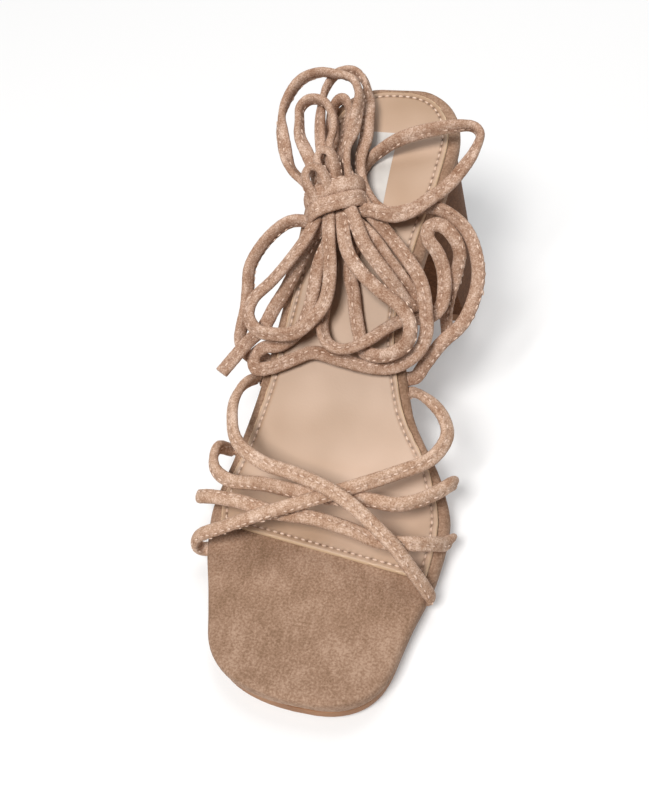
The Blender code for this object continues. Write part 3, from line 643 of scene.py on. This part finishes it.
bm = bmesh.new()
bmesh.ops.create_grid(bm, x_segments=label["columns"], y_segments=label["rows"], size=0.5)
turn = Matrix.Rotation(math.radians(label["turn"]), 2)
for vert in bm.verts:
    flat = Vector((vert.co.x * label["wide"], vert.co.y * label["long"]))
    x, y = turn @ flat + Vector(label["middle"])
    z = float(sockTop(y) + label["lift"] * steepAt(y))
    vert.co = inFrame((x, y, z))
bmesh.ops.solidify(bm, geom=bm.faces[:], thickness=label["thick"])
makePiece("blank_label", bm, "labelFoil", sharpDegrees=label["sharp"])

# Cords: flat and folded, with a row of stitches

cord = {
    # degrees round the section, closer together at the stitched seam on top
    "angles": [0, 28, 52, 68, 79, 90, 101, 112, 128, 152, 180, 212, 242, 270, 298, 328],
    "round": 0.8,  # under 1, the section nears a rounded box
    "curveSteps": 24, "faceSmooth": 6, "sharp": 60,
    "wander": [(0.24, 31.0, 1.0), (0.2, 53.0, 2.3)],  # the seam's waves: share of the width, mm, phase
    "bulge": 0.03, "endFull": (0.66, 0.34),
    "grooveDeep": 1.35, "groovePinch": 0.7, "shade": 0.1, "shadePinch": 0.45,
    "stitchSink": 0.7, "stitchAside": 0.15, "stitchDeep": 0.12,
    "stitchSlant": (0.12, 0.15), "stitchSize": (0.95, 0.15), "sizeLimits": (0.6, 1.2),
}


def evenPath(points, step):  # even steps along a smooth curve through the route's points
    route = np.asarray(points, float)
    route = np.vstack([2 * route[0] - route[1], route, 2 * route[-1] - route[-2]])
    fine = []
    for a, b, c, d in zip(route, route[1:], route[2:], route[3:]):
        knots = np.cumsum([0.0] + [math.sqrt(np.linalg.norm(q - p)) for p, q in ((a, b), (b, c), (c, d))])
        for t in np.linspace(knots[1], knots[2], cord["curveSteps"], endpoint=False):
            row = (a, b, c, d)
            for low, high in ((knots[:3], knots[1:]), (knots[:2], knots[2:]), (knots[1:2], knots[2:3])):
                row = [p + (q - p) * (t - i) / (j - i) for p, q, i, j in zip(row, row[1:], low, high)]
            fine.append(row[0])
    fine = np.array(fine + [route[-2]])
    run = runAlong(fine)
    return pointsAt(np.linspace(0.0, run[-1], max(2, round(run[-1] / step) + 1)), run, fine)


def unitRows(rows):
    return rows / lengths(rows)[:, None]


def smoothRows(rows, reach):
    padded = np.vstack([np.repeat(rows[:1], reach, axis=0), rows, np.repeat(rows[-1:], reach, axis=0)])
    total = np.cumsum(np.vstack([np.zeros((1, rows.shape[1])), padded]), axis=0)
    span = 2 * reach + 1
    return (total[span:] - total[:-span]) / span


def squareTo(tangents, rows):
    return unitRows(rows - tangents * (rows * tangents).sum(axis=1)[:, None])


def evenFaces(tangents, rows, reach):  # unit vectors square to a path, evened out along it
    return squareTo(tangents, unitRows(smoothRows(squareTo(tangents, rows), reach)))


def waves(parts, run, phase):
    return sum(size * np.sin(run / length + turn * phase) for size, length, turn in parts)


def rounded(values):  # flattens a circle's sine or cosine towards a rounded box
    return np.sign(values) * np.abs(values) ** cord["round"]


def addCord(bm, stitches, path, outward, look, phase, flatEnds=0.0):
    # the sewn groove wanders across both faces, and is pinched at each stitch
    tangents = unitRows(np.gradient(path, axis=0))
    outward = evenFaces(tangents, outward, cord["faceSmooth"])
    sideways = np.cross(tangents, outward)
    run = runAlong(path)
    pinch = 0.5 - 0.5 * np.cos(2 * math.pi * run / look["stitchPitch"])
    seam = look["wide"] * waves(cord["wander"], run, phase)
    full = np.ones(len(path))
    if flatEnds:
        least, gain = cord["endFull"]
        full = least + gain * np.clip(np.minimum(run, run[-1] - run) / flatEnds, 0, 1)
    angles = np.radians(cord["angles"])
    x = rounded(np.cos(angles)) * look["wide"] / 2 * (1 + cord["bulge"] * pinch)[:, None]
    z = rounded(np.sin(angles)) * look["thick"] / 2 * full[:, None]
    near = bell(x - seam[:, None], look["grooveWide"])
    deep = cord["grooveDeep"] - cord["groovePinch"] * pinch
    z = z - np.sign(z) * near * look["groove"] * deep[:, None]
    rings = inFrame(path[:, None] + sideways[:, None] * x[..., None] + outward[:, None] * z[..., None])
    # painted shade: the colour darkens in the seam's groove, most at the needle holes between the stitches
    loftRings(bm, rings, near * (cord["shade"] + cord["shadePinch"] * (1 - pinch))[:, None])
    height = (1 - np.abs(2 * seam / look["wide"]) ** (2 / cord["round"])) ** (cord["round"] / 2)
    height = height * look["thick"] / 2 * full - look["groove"] * cord["stitchSink"]
    slantMean, slantSpread = cord["stitchSlant"]
    sizeMean, sizeSpread = cord["stitchSize"]
    uneven = np.random.default_rng(int(phase * 10) + len(path))
    for k in range(1, int(run[-1] / look["stitchPitch"])):
        i = min(int(np.searchsorted(run, (k + 0.5) * look["stitchPitch"])), len(path) - 2)
        for face in (1, -1):
            aside, deep, slant, size = uneven.normal(size=4)
            place = path[i] + sideways[i] * (seam[i] + cord["stitchAside"] * aside)
            place = place + outward[i] * face * (height[i] - cord["stitchDeep"] * abs(deep))
            turned = tangents[i] + sideways[i] * (slantMean + slantSpread * slant)
            sewn = stitchAt(inFrame(place), turned, outward[i] * face, look)
            size = np.clip(sizeMean + sizeSpread * size, *cord["sizeLimits"])
            stitches.append(sewn @ Matrix.Scale(float(size), 4))


def newCords():  # an empty mesh for cords, and a list for their stitches
    bm = bmesh.new()
    bm.verts.layers.float.new("seamShade")
    return bm, []


def makeCords(name, sewnName, bm, stitches, material, replaced):
    piece = makePiece(name, bm, material, replaced, cord["sharp"])
    return [piece, makeStitches(sewnName, stitches)]


# Straps over the toes, laid over each other as in the picture

straps = {
    "wide": 5.3, "thick": 3.6, "step": 0.9, "axisHeight": 6.0, "toeward": -10.0,
    "rootReach": 3.3, "rootRise": 0.6, "rootPress": (1.2, 2.6), "rootTuck": 1.5, "rootFlat": 6.0,
    "stitchPitch": 3.0, "stitchLong": 2.0, "stitchWide": 0.62, "stitchHigh": 0.6,
    "groove": 0.35, "grooveWide": 0.7,
    # name: lateral root, medial root, where the stitch row starts on its way across the strap, route
    "routes": {
        "toeToArch": (-60.0, 6.0, 0.4, [
            (-48.2, -61.0, 12.5), (-45.5, -60.3, 18.0), (-36.5, -58.5, 23.0), (-21.0, -53.0, 28.0),
            (-7.0, -47.0, 30.0), (8.0, -39.5, 31.0), (22.0, -31.5, 31.0), (34.8, -23.5, 32.5),
            (38.8, -15.0, 35.0), (36.0, -7.5, 36.0), (29.5, -0.8, 35.8)]),
        "archToToe": (5.0, -66.0, 2.6, [
            (-41.8, -2.0, 35.0), (-42.3, -12.0, 38.0), (-40.8, -20.0, 38.0), (-36.4, -29.5, 37.0),
            (-24.6, -37.0, 36.5), (-11.4, -39.5, 35.5), (1.2, -43.2, 34.7), (9.8, -47.0, 33.7),
            (18.6, -52.2, 31.2), (27.4, -58.0, 28.0), (33.6, -62.3, 22.0), (38.9, -65.2, 13.6)]),
        "acrossBall": (-38.5, -41.5, 4.1, [
            (-51.8, -41.4, 13.5), (-50.3, -44.2, 18.3), (-46.0, -45.3, 21.2), (-41.0, -46.0, 22.5),
            (-32.0, -47.3, 24.0), (-19.0, -50.0, 24.8), (-3.0, -50.6, 25.5), (10.2, -53.0, 25.8),
            (22.8, -56.2, 26.0), (33.7, -53.5, 23.0), (39.8, -49.8, 18.2), (42.2, -46.8, 13.4)]),
        "behindBall": (-20.0, -22.0, 5.5, [
            (-48.6, -24.5, 22.5), (-48.0, -31.0, 24.5), (-44.5, -36.8, 25.5), (-37.9, -40.2, 26.0),
            (-25.0, -40.5, 27.4), (-12.0, -41.5, 27.0), (1.3, -41.8, 26.6), (14.2, -40.8, 26.8),
            (24.0, -41.2, 26.8), (31.0, -38.4, 26.0), (37.6, -32.3, 24.0), (41.4, -27.2, 22.2),
            (41.8, -23.4, 17.6)]),
    },
}


def rootAt(side, along, inward, reach):  # two points where a cord leaves the footbed's edge squarely
    here = np.array([float(edgesAt(along)[side]), along])
    ahead = np.array([float(edgesAt(along + 0.5)[side]), along + 0.5])
    run = (ahead - here) / np.linalg.norm(ahead - here)
    out = np.array([run[1], -run[0]]) * (1 if side else -1)
    middle = (float(heightOf(along)) + footbedUnder(along)) / 2
    return [(*(here - out * inward), middle), (*(here + out * reach), middle + straps["rootRise"])]


def strapPath(roots, route, inward, press, step):  # press brings the ends closer to the sole's edge
    lateral, medial = (straps["rootReach"] - p for p in press)
    points = rootAt(0, roots[0], inward, lateral) + route + rootAt(1, roots[1], inward, medial)[::-1]
    return evenPath(points, step)


bm, stitches = newCords()
for *roots, phase, route in straps["routes"].values():
    path = strapPath(roots, route, straps["rootTuck"], straps["rootPress"], straps["step"])
    toeward = np.full(len(path), straps["toeward"])
    outward = np.column_stack([path[:, 0], toeward, path[:, 2] - straps["axisHeight"]])
    addCord(bm, stitches, path, outward, straps, phase, straps["rootFlat"])
makeCords("toe_straps", "toe_strap_stitches", bm, stitches, "strapSuede", ["upper"])

# Laces: the solids' routes, eased apart in the same way, then run through the knot as two long cords

lace = {
    "diameter": 4.8, "wide": 5.3, "thick": 3.1, "step": 0.9, "clear": 0.9, "easeStep": 2.8, "held": 2,
    "rounds": 260, "share": 0.22, "smooth": 0.35, "keep": 0.995, "stations": 120,
    "stitchPitch": 3.1, "stitchLong": 1.75, "stitchWide": 0.6, "stitchHigh": 0.6,
    "groove": 0.35, "grooveWide": 0.7,
    "rootClear": 0.5, "rootTuck": 1.5, "strapReach": 2.6, "strapStep": 3.6, "slotDrop": 3,
    "facing": (0.1, -0.5, 0.86),  # where a lace runs straight, its flat side turns roughly this way
    "tightBend": 32.0,  # mm, a bend of about this radius turns it on edge
    "bendLeast": 0.35, "edgeAtKnot": 0.6, "edgeFade": 20.0, "edgeLeast": 0.2,
    "faceSmooth": 8, "bendSmooth": 5, "turnSmooth": 9,
    "wander": [(0.45, 37.0, 1.0), (0.3, 61.0, 2.1)],  # the flat side's waves: radians, mm, phase
    "phase": 0.4, "seedFirst": 0.4, "seedStep": 1.7,
}
knot = {"across": -13.5, "along": 63.0, "turn": 24.0, "wide": 24.0, "thick": 17.0, "long": 14.0,
        "column": 5.5, "row": 5.3, "squeeze": 0.6, "depth": 5.0,
        "gatherFull": 1.3, "gatherReach": 30.0, "gatherRounds": 6, "gatherPull": 0.5,
        # the turns round the bundle lie nearer the toe than its middle, and two bights stick out of them
        "wrapShift": (-1.4, -3.6), "wrapTurn": 17.0, "wrapTurns": 2.2, "wrapPitch": 6.2, "wrapPhase": 0.5,
        "wrapStart": 225.0, "wrapMarks": 100, "wrapWide": 6.3, "wrapThick": 3.0,
        "bights": [
            [(-14, 53, 82), (-16, 56.5, 87), (-19.5, 60, 90), (-23, 60.3, 90), (-24.6, 57.5, 88.5),
             (-23, 54, 85.5), (-19, 51, 81)],
            [(-13, 58, 83), (-14.5, 63.5, 89), (-17, 67.5, 91.5), (-20.5, 68.5, 91), (-22, 66, 89),
             (-20.5, 62, 86.5), (-17.5, 57, 82)],
        ]}
# start and end are a root (side, along), a slot of the knot (face, column, row) or None for a free end
laceRoutes = {
    "lace_outer_run": ((0, 11.5), (-1, -1.5, -1), [
        (-43, 10, 37), (-46, 12, 42), (-46, 16, 46), (-45, 22, 51), (-45, 28, 56), (-45, 34, 61),
        (-42, 41, 65), (-37, 48, 68), (-30, 53, 70)]),
    "lace_inner_run": ((1, 10.5), (-1, 1.5, -1), [
        (25, 14, 37), (31, 20, 44), (38, 25, 50), (41, 31, 55), (42, 39, 60), (40, 47, 64), (35, 55, 68),
        (28, 59, 71), (20, 60, 73), (12, 58, 72), (4, 56, 71)]),
    "lace_back_loop_near": ((1, -1.5, 1), (1, -0.5, 1), [
        (-26, 70, 87), (-31, 76, 89), (-33, 84, 91), (-34, 90, 93), (-31, 94, 94), (-25, 93, 94),
        (-21, 88, 93), (-18, 79, 91)]),
    "lace_back_loop_wide": ((1, -1.5, 0), (1, 0.5, 1), [
        (-30, 65, 79), (-35, 69, 81), (-39, 78, 86), (-42, 88, 90), (-41, 98, 93), (-37, 104, 96),
        (-30, 106, 98), (-22, 104, 99), (-15, 101, 99), (-11, 94, 97), (-11, 87, 94), (-11, 76, 91)]),
    "lace_back_loop_far": ((1, 1.5, 0), (1, -0.5, 0), [
        (-7, 77, 85), (-8, 90, 88), (-10, 102, 91), (-13, 109, 93), (-18, 113, 94), (-24, 111, 94),
        (-27, 104, 92), (-27, 96, 89), (-26, 87, 87), (-24, 78, 85)]),
    "lace_back_loop_low": ((1, -0.5, -1), (1, 0.5, 0), [
        (-21, 81, 82), (-24, 92, 85), (-25, 100, 87), (-22, 104, 88), (-18, 99, 87), (-16, 88, 86),
        (-15, 77, 84)]),
    "lace_bow": ((1, 1.5, -1), (-1, 1.8, 1), [
        (-4, 78, 82), (2, 80.5, 86), (11, 83, 89), (20, 85.5, 90), (28, 87.5, 90), (33, 88.5, 89),
        (36, 86, 88), (35, 80, 85), (32, 74, 82), (27, 67, 78), (21, 60, 76), (13, 53, 75), (5, 50, 76)]),
    "lace_front_loop_outer": ((-1, -0.9, 1), (-1, -1.8, 1), [
        (-14.3, 42, 75), (-12.8, 37, 70.5), (-11.8, 32, 66.5), (-11.6, 26.5, 62), (-13, 21, 57.5),
        (-17.5, 15.5, 54), (-23, 12, 51), (-32, 12, 49), (-38, 13, 49), (-42, 17, 52), (-41, 22, 56),
        (-34, 28, 61), (-28, 33, 66), (-22.5, 39, 71)]),
    "lace_front_loop_inner": ((-1, 0, 1), (-1, 0.5, -1), [
        (-8, 40, 73.5), (-2.4, 33.5, 68.5), (7, 28, 64), (15.6, 24, 60.5), (20.3, 19, 57.5),
        (21.3, 15, 54.5), (20, 12, 51), (15, 9, 48), (9, 9, 45), (3, 11, 44), (0.5, 16.5, 45),
        (-2, 23.5, 49.5), (-4, 30.5, 55), (-6.5, 37, 60.5)]),
    "lace_front_loop_middle": ((-1, 0.9, 1), (-1, 0.5, 0), [
        (-1.8, 42, 74.5), (4.9, 35.6, 69.5), (10.5, 30.8, 65), (14, 28, 61), (17.8, 26, 56.5),
        (20.8, 27.5, 53.8), (20.3, 30.8, 55.3), (15.5, 33.8, 61.5), (9, 38.8, 68), (2.8, 45.8, 73.3)]),
    "lace_front_sweep": ((-1, -0.5, 0), (-1, 1.5, 0), [
        (-15.5, 43, 70.5), (-17.5, 38, 67), (-18, 33, 63), (-18.3, 28, 58.5), (-19.5, 22.5, 53),
        (-24, 16, 46.5), (-31, 12, 43), (-36, 11, 43), (-40, 8, 41), (-39, 4, 38), (-33, 5, 38),
        (-25, 8, 40), (-17, 11, 42), (-7, 10, 41), (3, 9, 40), (13, 9, 40), (20, 11, 43), (24.5, 15, 47),
        (25.5, 19, 51), (24.3, 24, 55), (22.2, 29.8, 59), (18.7, 35.3, 62.5), (13.9, 39.9, 66.5),
        (7.2, 45.4, 71), (2.5, 49, 73.5)]),
    "lace_inner_end": ((-1, -0.5, -1), None, [
        (-17, 46, 67), (-15, 36, 60), (-15, 26, 54), (-14, 17, 50), (-11, 12, 47), (-6, 10, 46),
        (0, 10, 47), (5, 13, 48), (10, 18, 49), (15, 23, 49), (20, 26, 48), (25, 28, 48), (29, 31, 51),
        (30, 37, 56), (29, 42, 60), (26, 46, 65), (22, 49, 69), (22, 53, 71), (26, 54, 71), (31, 51, 69),
        (34, 47, 65), (33, 43, 58), (31, 39, 50), (30, 35, 43), (31, 31, 37)]),
    "lace_outer_end": ((-1, -1.5, 0), None, [
        (-22, 41, 68), (-26, 34, 63), (-30, 29, 56), (-34, 23, 51), (-37, 17, 47), (-41, 12, 45),
        (-44, 5, 45), (-49, -4, 43)]),
}
# the order in which each lace passes along its routes, and the one that runs from its end to its start
laceChains = {
    "outer_lace": ["lace_outer_run", "lace_back_loop_wide", "lace_front_sweep", "lace_back_loop_near",
                   "lace_front_loop_middle", "lace_outer_end"],
    "inner_lace": ["lace_inner_run", "lace_back_loop_far", "lace_front_loop_outer", "lace_back_loop_low",
                   "lace_front_loop_inner", "lace_bow", "lace_inner_end"],
}
backwards = ["lace_front_sweep"]


def knotFrame(degrees=knot["turn"]):  # the knot's centre and its directions across, to the heel and out
    slope = math.atan(float(slopeAt(knot["along"])))
    turn = math.radians(degrees)
    uphill = np.array([0.0, math.cos(slope), math.sin(slope)])
    out = np.array([0.0, -math.sin(slope), math.cos(slope)])
    side = np.array([1.0, 0.0, 0.0])
    across = side * math.cos(turn) + uphill * math.sin(turn)
    heelward = uphill * math.cos(turn) - side * math.sin(turn)
    foot = np.array([knot["across"], knot["along"], float(sockTop(knot["along"]))])
    return foot + out * (knot["thick"] / 2 + last["gap"]), across, heelward, out


def slotAt(end, past, squeeze=1.0):  # a slot of the knot, so far past the face that it opens on
    centre, across, heelward, out = knotFrame()
    face, column, row = end
    offset = across * column * knot["column"] + out * row * knot["row"]
    return centre + offset * squeeze + heelward * face * (knot["long"] / 2 + past)


def laceEnd(end):  # two points where a lace leaves the knot or the footbed's edge, the outer one last
    if len(end) == 2:
        return rootAt(end[0], end[1], -lace["rootClear"], straps["rootReach"])
    return [tuple(slotAt(end, past)) for past in (last["gap"], last["gap"] + lace["diameter"])]


def insideKnot(end):  # where a lace runs inside the tied bundle, drawn together there
    return slotAt(end, -knot["depth"], knot["squeeze"])


def liftOffSole(points):  # a point inside the sole moves up onto the sock, or out past the nearer edge
    stations = np.linspace(last["toe"], last["back"], lace["stations"])
    lateral, medial = edgesAt(stations)
    under = heightOf(stations) - footbed["thick"] * steepAt(stations)
    columns = (lateral, medial, sockTop(stations), steepAt(stations), under)
    lateral, medial, top, steep, under = (np.interp(points[:, 1], stations, column) for column in columns)
    reach = lace["diameter"] / 2 + lace["clear"] / 2
    inside = np.minimum(points[:, 0] - lateral, medial - points[:, 0]) + reach
    below = top + reach * steep - points[:, 2]
    sunk = (inside > 0) & (below > 0) & (points[:, 2] > under - reach) & (points[:, 1] < last["back"])
    up = sunk & (below <= inside)
    aside = sunk & ~up
    points[up, 2] += below[up]
    outward = np.where(points[:, 0] > (lateral + medial) / 2, 1.0, -1.0)
    points[aside, 0] += (outward * inside)[aside]


def inTheWay():  # straps and the knot's middle, with how far each reaches
    places = []
    reach = []
    for *roots, phase, route in straps["routes"].values():
        path = strapPath(roots, route, -lace["rootClear"], (0.0, 0.0), lace["strapStep"])
        places += list(path)
        reach += [lace["strapReach"]] * len(path)
    centre, across = knotFrame()[:2]
    for share in (-1, 0, 1):
        places.append(centre + across * share * (knot["wide"] - knot["thick"]) / 2)
        reach.append(knot["long"] / 2)
    return np.array(places), np.array(reach)


def besideOf(rows):  # the middle between each row's neighbours
    return (np.roll(rows, 1, axis=0) + np.roll(rows, -1, axis=0)) / 2


def settleLaces():  # shift the laces until none touches another, the sock, a strap or the knot
    paths = []
    held = []
    for start, end, route in laceRoutes.values():
        points = laceEnd(start) + route
        if end is not None:
            points = points + laceEnd(end)[::-1]
        path = evenPath(points, lace["easeStep"])
        stays = np.zeros(len(path), bool)
        stays[:lace["held"]] = True
        stays[-lace["held"]:] = end is not None
        paths.append(path)
        held.append(stays)
    held = np.concatenate(held)
    route = np.vstack(paths)
    owner = np.concatenate([[i] * len(path) for i, path in enumerate(paths)])
    order = np.arange(len(route))
    bend = math.ceil(2 * lace["diameter"] / lace["easeStep"])
    apart = (owner[:, None] != owner) | (abs(order[:, None] - order) > bend)
    inner = (owner == np.roll(owner, 1)) & (owner == np.roll(owner, -1)) & ~held
    places, reach = inTheWay()
    nearLace = lace["diameter"] + lace["clear"]
    nearPlace = lace["diameter"] / 2 + lace["clear"] + reach
    shift = np.zeros_like(route)
    for _ in range(lace["rounds"]):
        points = route + shift
        for others, near, counts, tiny in ((points, nearLace, apart, 1e-9), (places, nearPlace, 1, 0.0)):
            away = points[:, None] - others
            far = lengths(away) + tiny
            over = np.clip(near - far, 0.0, None) * counts
            shift += lace["share"] * (away * (over / far)[..., None]).sum(axis=1)
        points = route + shift
        liftOffSole(points)
        shift = (points - route) * lace["keep"]
        shift[held] = 0.0
        shift[inner] += lace["smooth"] * (besideOf(shift) - shift)[inner]
    return {name: (route + shift)[owner == i] for i, name in enumerate(laceRoutes)}


def gathered(points):  # eases the strands into the knot, without the step at its faces
    points = np.array(points)
    far = lengths(points - knotFrame()[0])
    near = np.clip(knot["gatherFull"] - far / knot["gatherReach"], 0, 1)
    near[0] = near[-1] = 0.0
    for _ in range(knot["gatherRounds"]):
        points = points + (besideOf(points) - points) * near[:, None] * knot["gatherPull"]
    return points


def chainPath(settled, chain):
    points = []
    for name in chain:
        start, end, route = laceRoutes[name]
        path = settled[name]
        if name in backwards:
            path = path[::-1]
            start, end = end, start
        if len(start) == 3:
            points.append(insideKnot(start))
            path = path[lace["slotDrop"]:]
        else:
            away = (path[0] - path[1]) / np.linalg.norm(path[0] - path[1])
            points.append(path[0] + away * (lace["rootClear"] + lace["rootTuck"]))
        if end is not None:
            path = np.vstack([path[:-lace["slotDrop"]], insideKnot(end)])
        points += list(path)
    return evenPath(gathered(points), lace["step"])


def doubled(angle):  # a flat cord looks the same after half a turn, so its angles are averaged doubled
    return np.column_stack([np.cos(2 * angle), np.sin(2 * angle)])


def lyingFlat(path, seed):  # where a lace's flat side faces: up on the straight, outwards in a bend
    tangents = unitRows(np.gradient(path, axis=0))
    face = evenFaces(tangents, np.tile(np.array(lace["facing"]), (len(path), 1)), lace["faceSmooth"])
    side = np.cross(tangents, face)
    bend = smoothRows(np.gradient(tangents, axis=0) / lace["step"], lace["bendSmooth"])
    angle = np.arctan2((bend * side).sum(axis=1), (bend * face).sum(axis=1))
    tight = np.clip(lengths(bend) * lace["tightBend"] - lace["bendLeast"], 0, 1)
    centre, across, heelward, out = knotFrame()
    # the front loops lie flat
    onEdge = lace["edgeAtKnot"] + (path - centre) @ heelward / lace["edgeFade"]
    tight = tight * np.clip(onEdge, lace["edgeLeast"], 1)
    wander = waves(lace["wander"], np.arange(len(path)) * lace["step"], seed)
    turn = doubled(angle) * tight[:, None] + doubled(wander) * (1 - tight)[:, None]
    turn = smoothRows(turn, lace["turnSmooth"])
    angle = np.unwrap(np.arctan2(turn[:, 1], turn[:, 0])) / 2
    return face * np.cos(angle)[:, None] + side * np.sin(angle)[:, None]


def lengthOf(path):
    return float(lengths(np.diff(path, axis=0)).sum())


def makeKnot():
    look = dict(lace, wide=knot["wrapWide"], thick=knot["wrapThick"])
    centre, across, heelward, out = knotFrame(knot["wrapTurn"])
    centre = centre + across * knot["wrapShift"][0] + heelward * knot["wrapShift"][1]
    share = np.linspace(0.0, 1.0, knot["wrapMarks"])[:, None]
    angle = math.radians(knot["wrapStart"]) + 2 * math.pi * knot["wrapTurns"] * share
    wide = rounded(np.cos(angle)) * (knot["wide"] - knot["wrapThick"]) / 2
    high = rounded(np.sin(angle)) * (knot["thick"] - knot["wrapThick"]) / 2
    offset = (0.5 - share) * knot["wrapPitch"] * knot["wrapTurns"]
    path = evenPath(centre + across * wide + out * high + heelward * offset, lace["step"])
    away = path - centre
    away = away - np.outer(away @ heelward, heelward)
    bm, stitches = newCords()
    addCord(bm, stitches, path, away, look, knot["wrapPhase"])
    for number, route in enumerate(knot["bights"]):
        path = evenPath(route, lace["step"])
        addCord(bm, stitches, path, lyingFlat(path, number), lace, lace["phase"])
    return makeCords("knot_wrap", "knot_wrap_stitches", bm, stitches, "cordSuede", ["lace_knot"])


settled = settleLaces()
onKnot = makeKnot()
for number, (name, chain) in enumerate(laceChains.items()):
    path = chainPath(settled, chain)
    bm, stitches = newCords()
    seed = number * lace["seedStep"] + lace["seedFirst"]
    addCord(bm, stitches, path, lyingFlat(path, seed), lace, lace["phase"])
    piece, sewn = makeCords(name, name + "_stitches", bm, stitches, "cordSuede", chain)
    along = inFrame(path)
    print("lace:", name, round(lengthOf(along), 3), "m")

low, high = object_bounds()
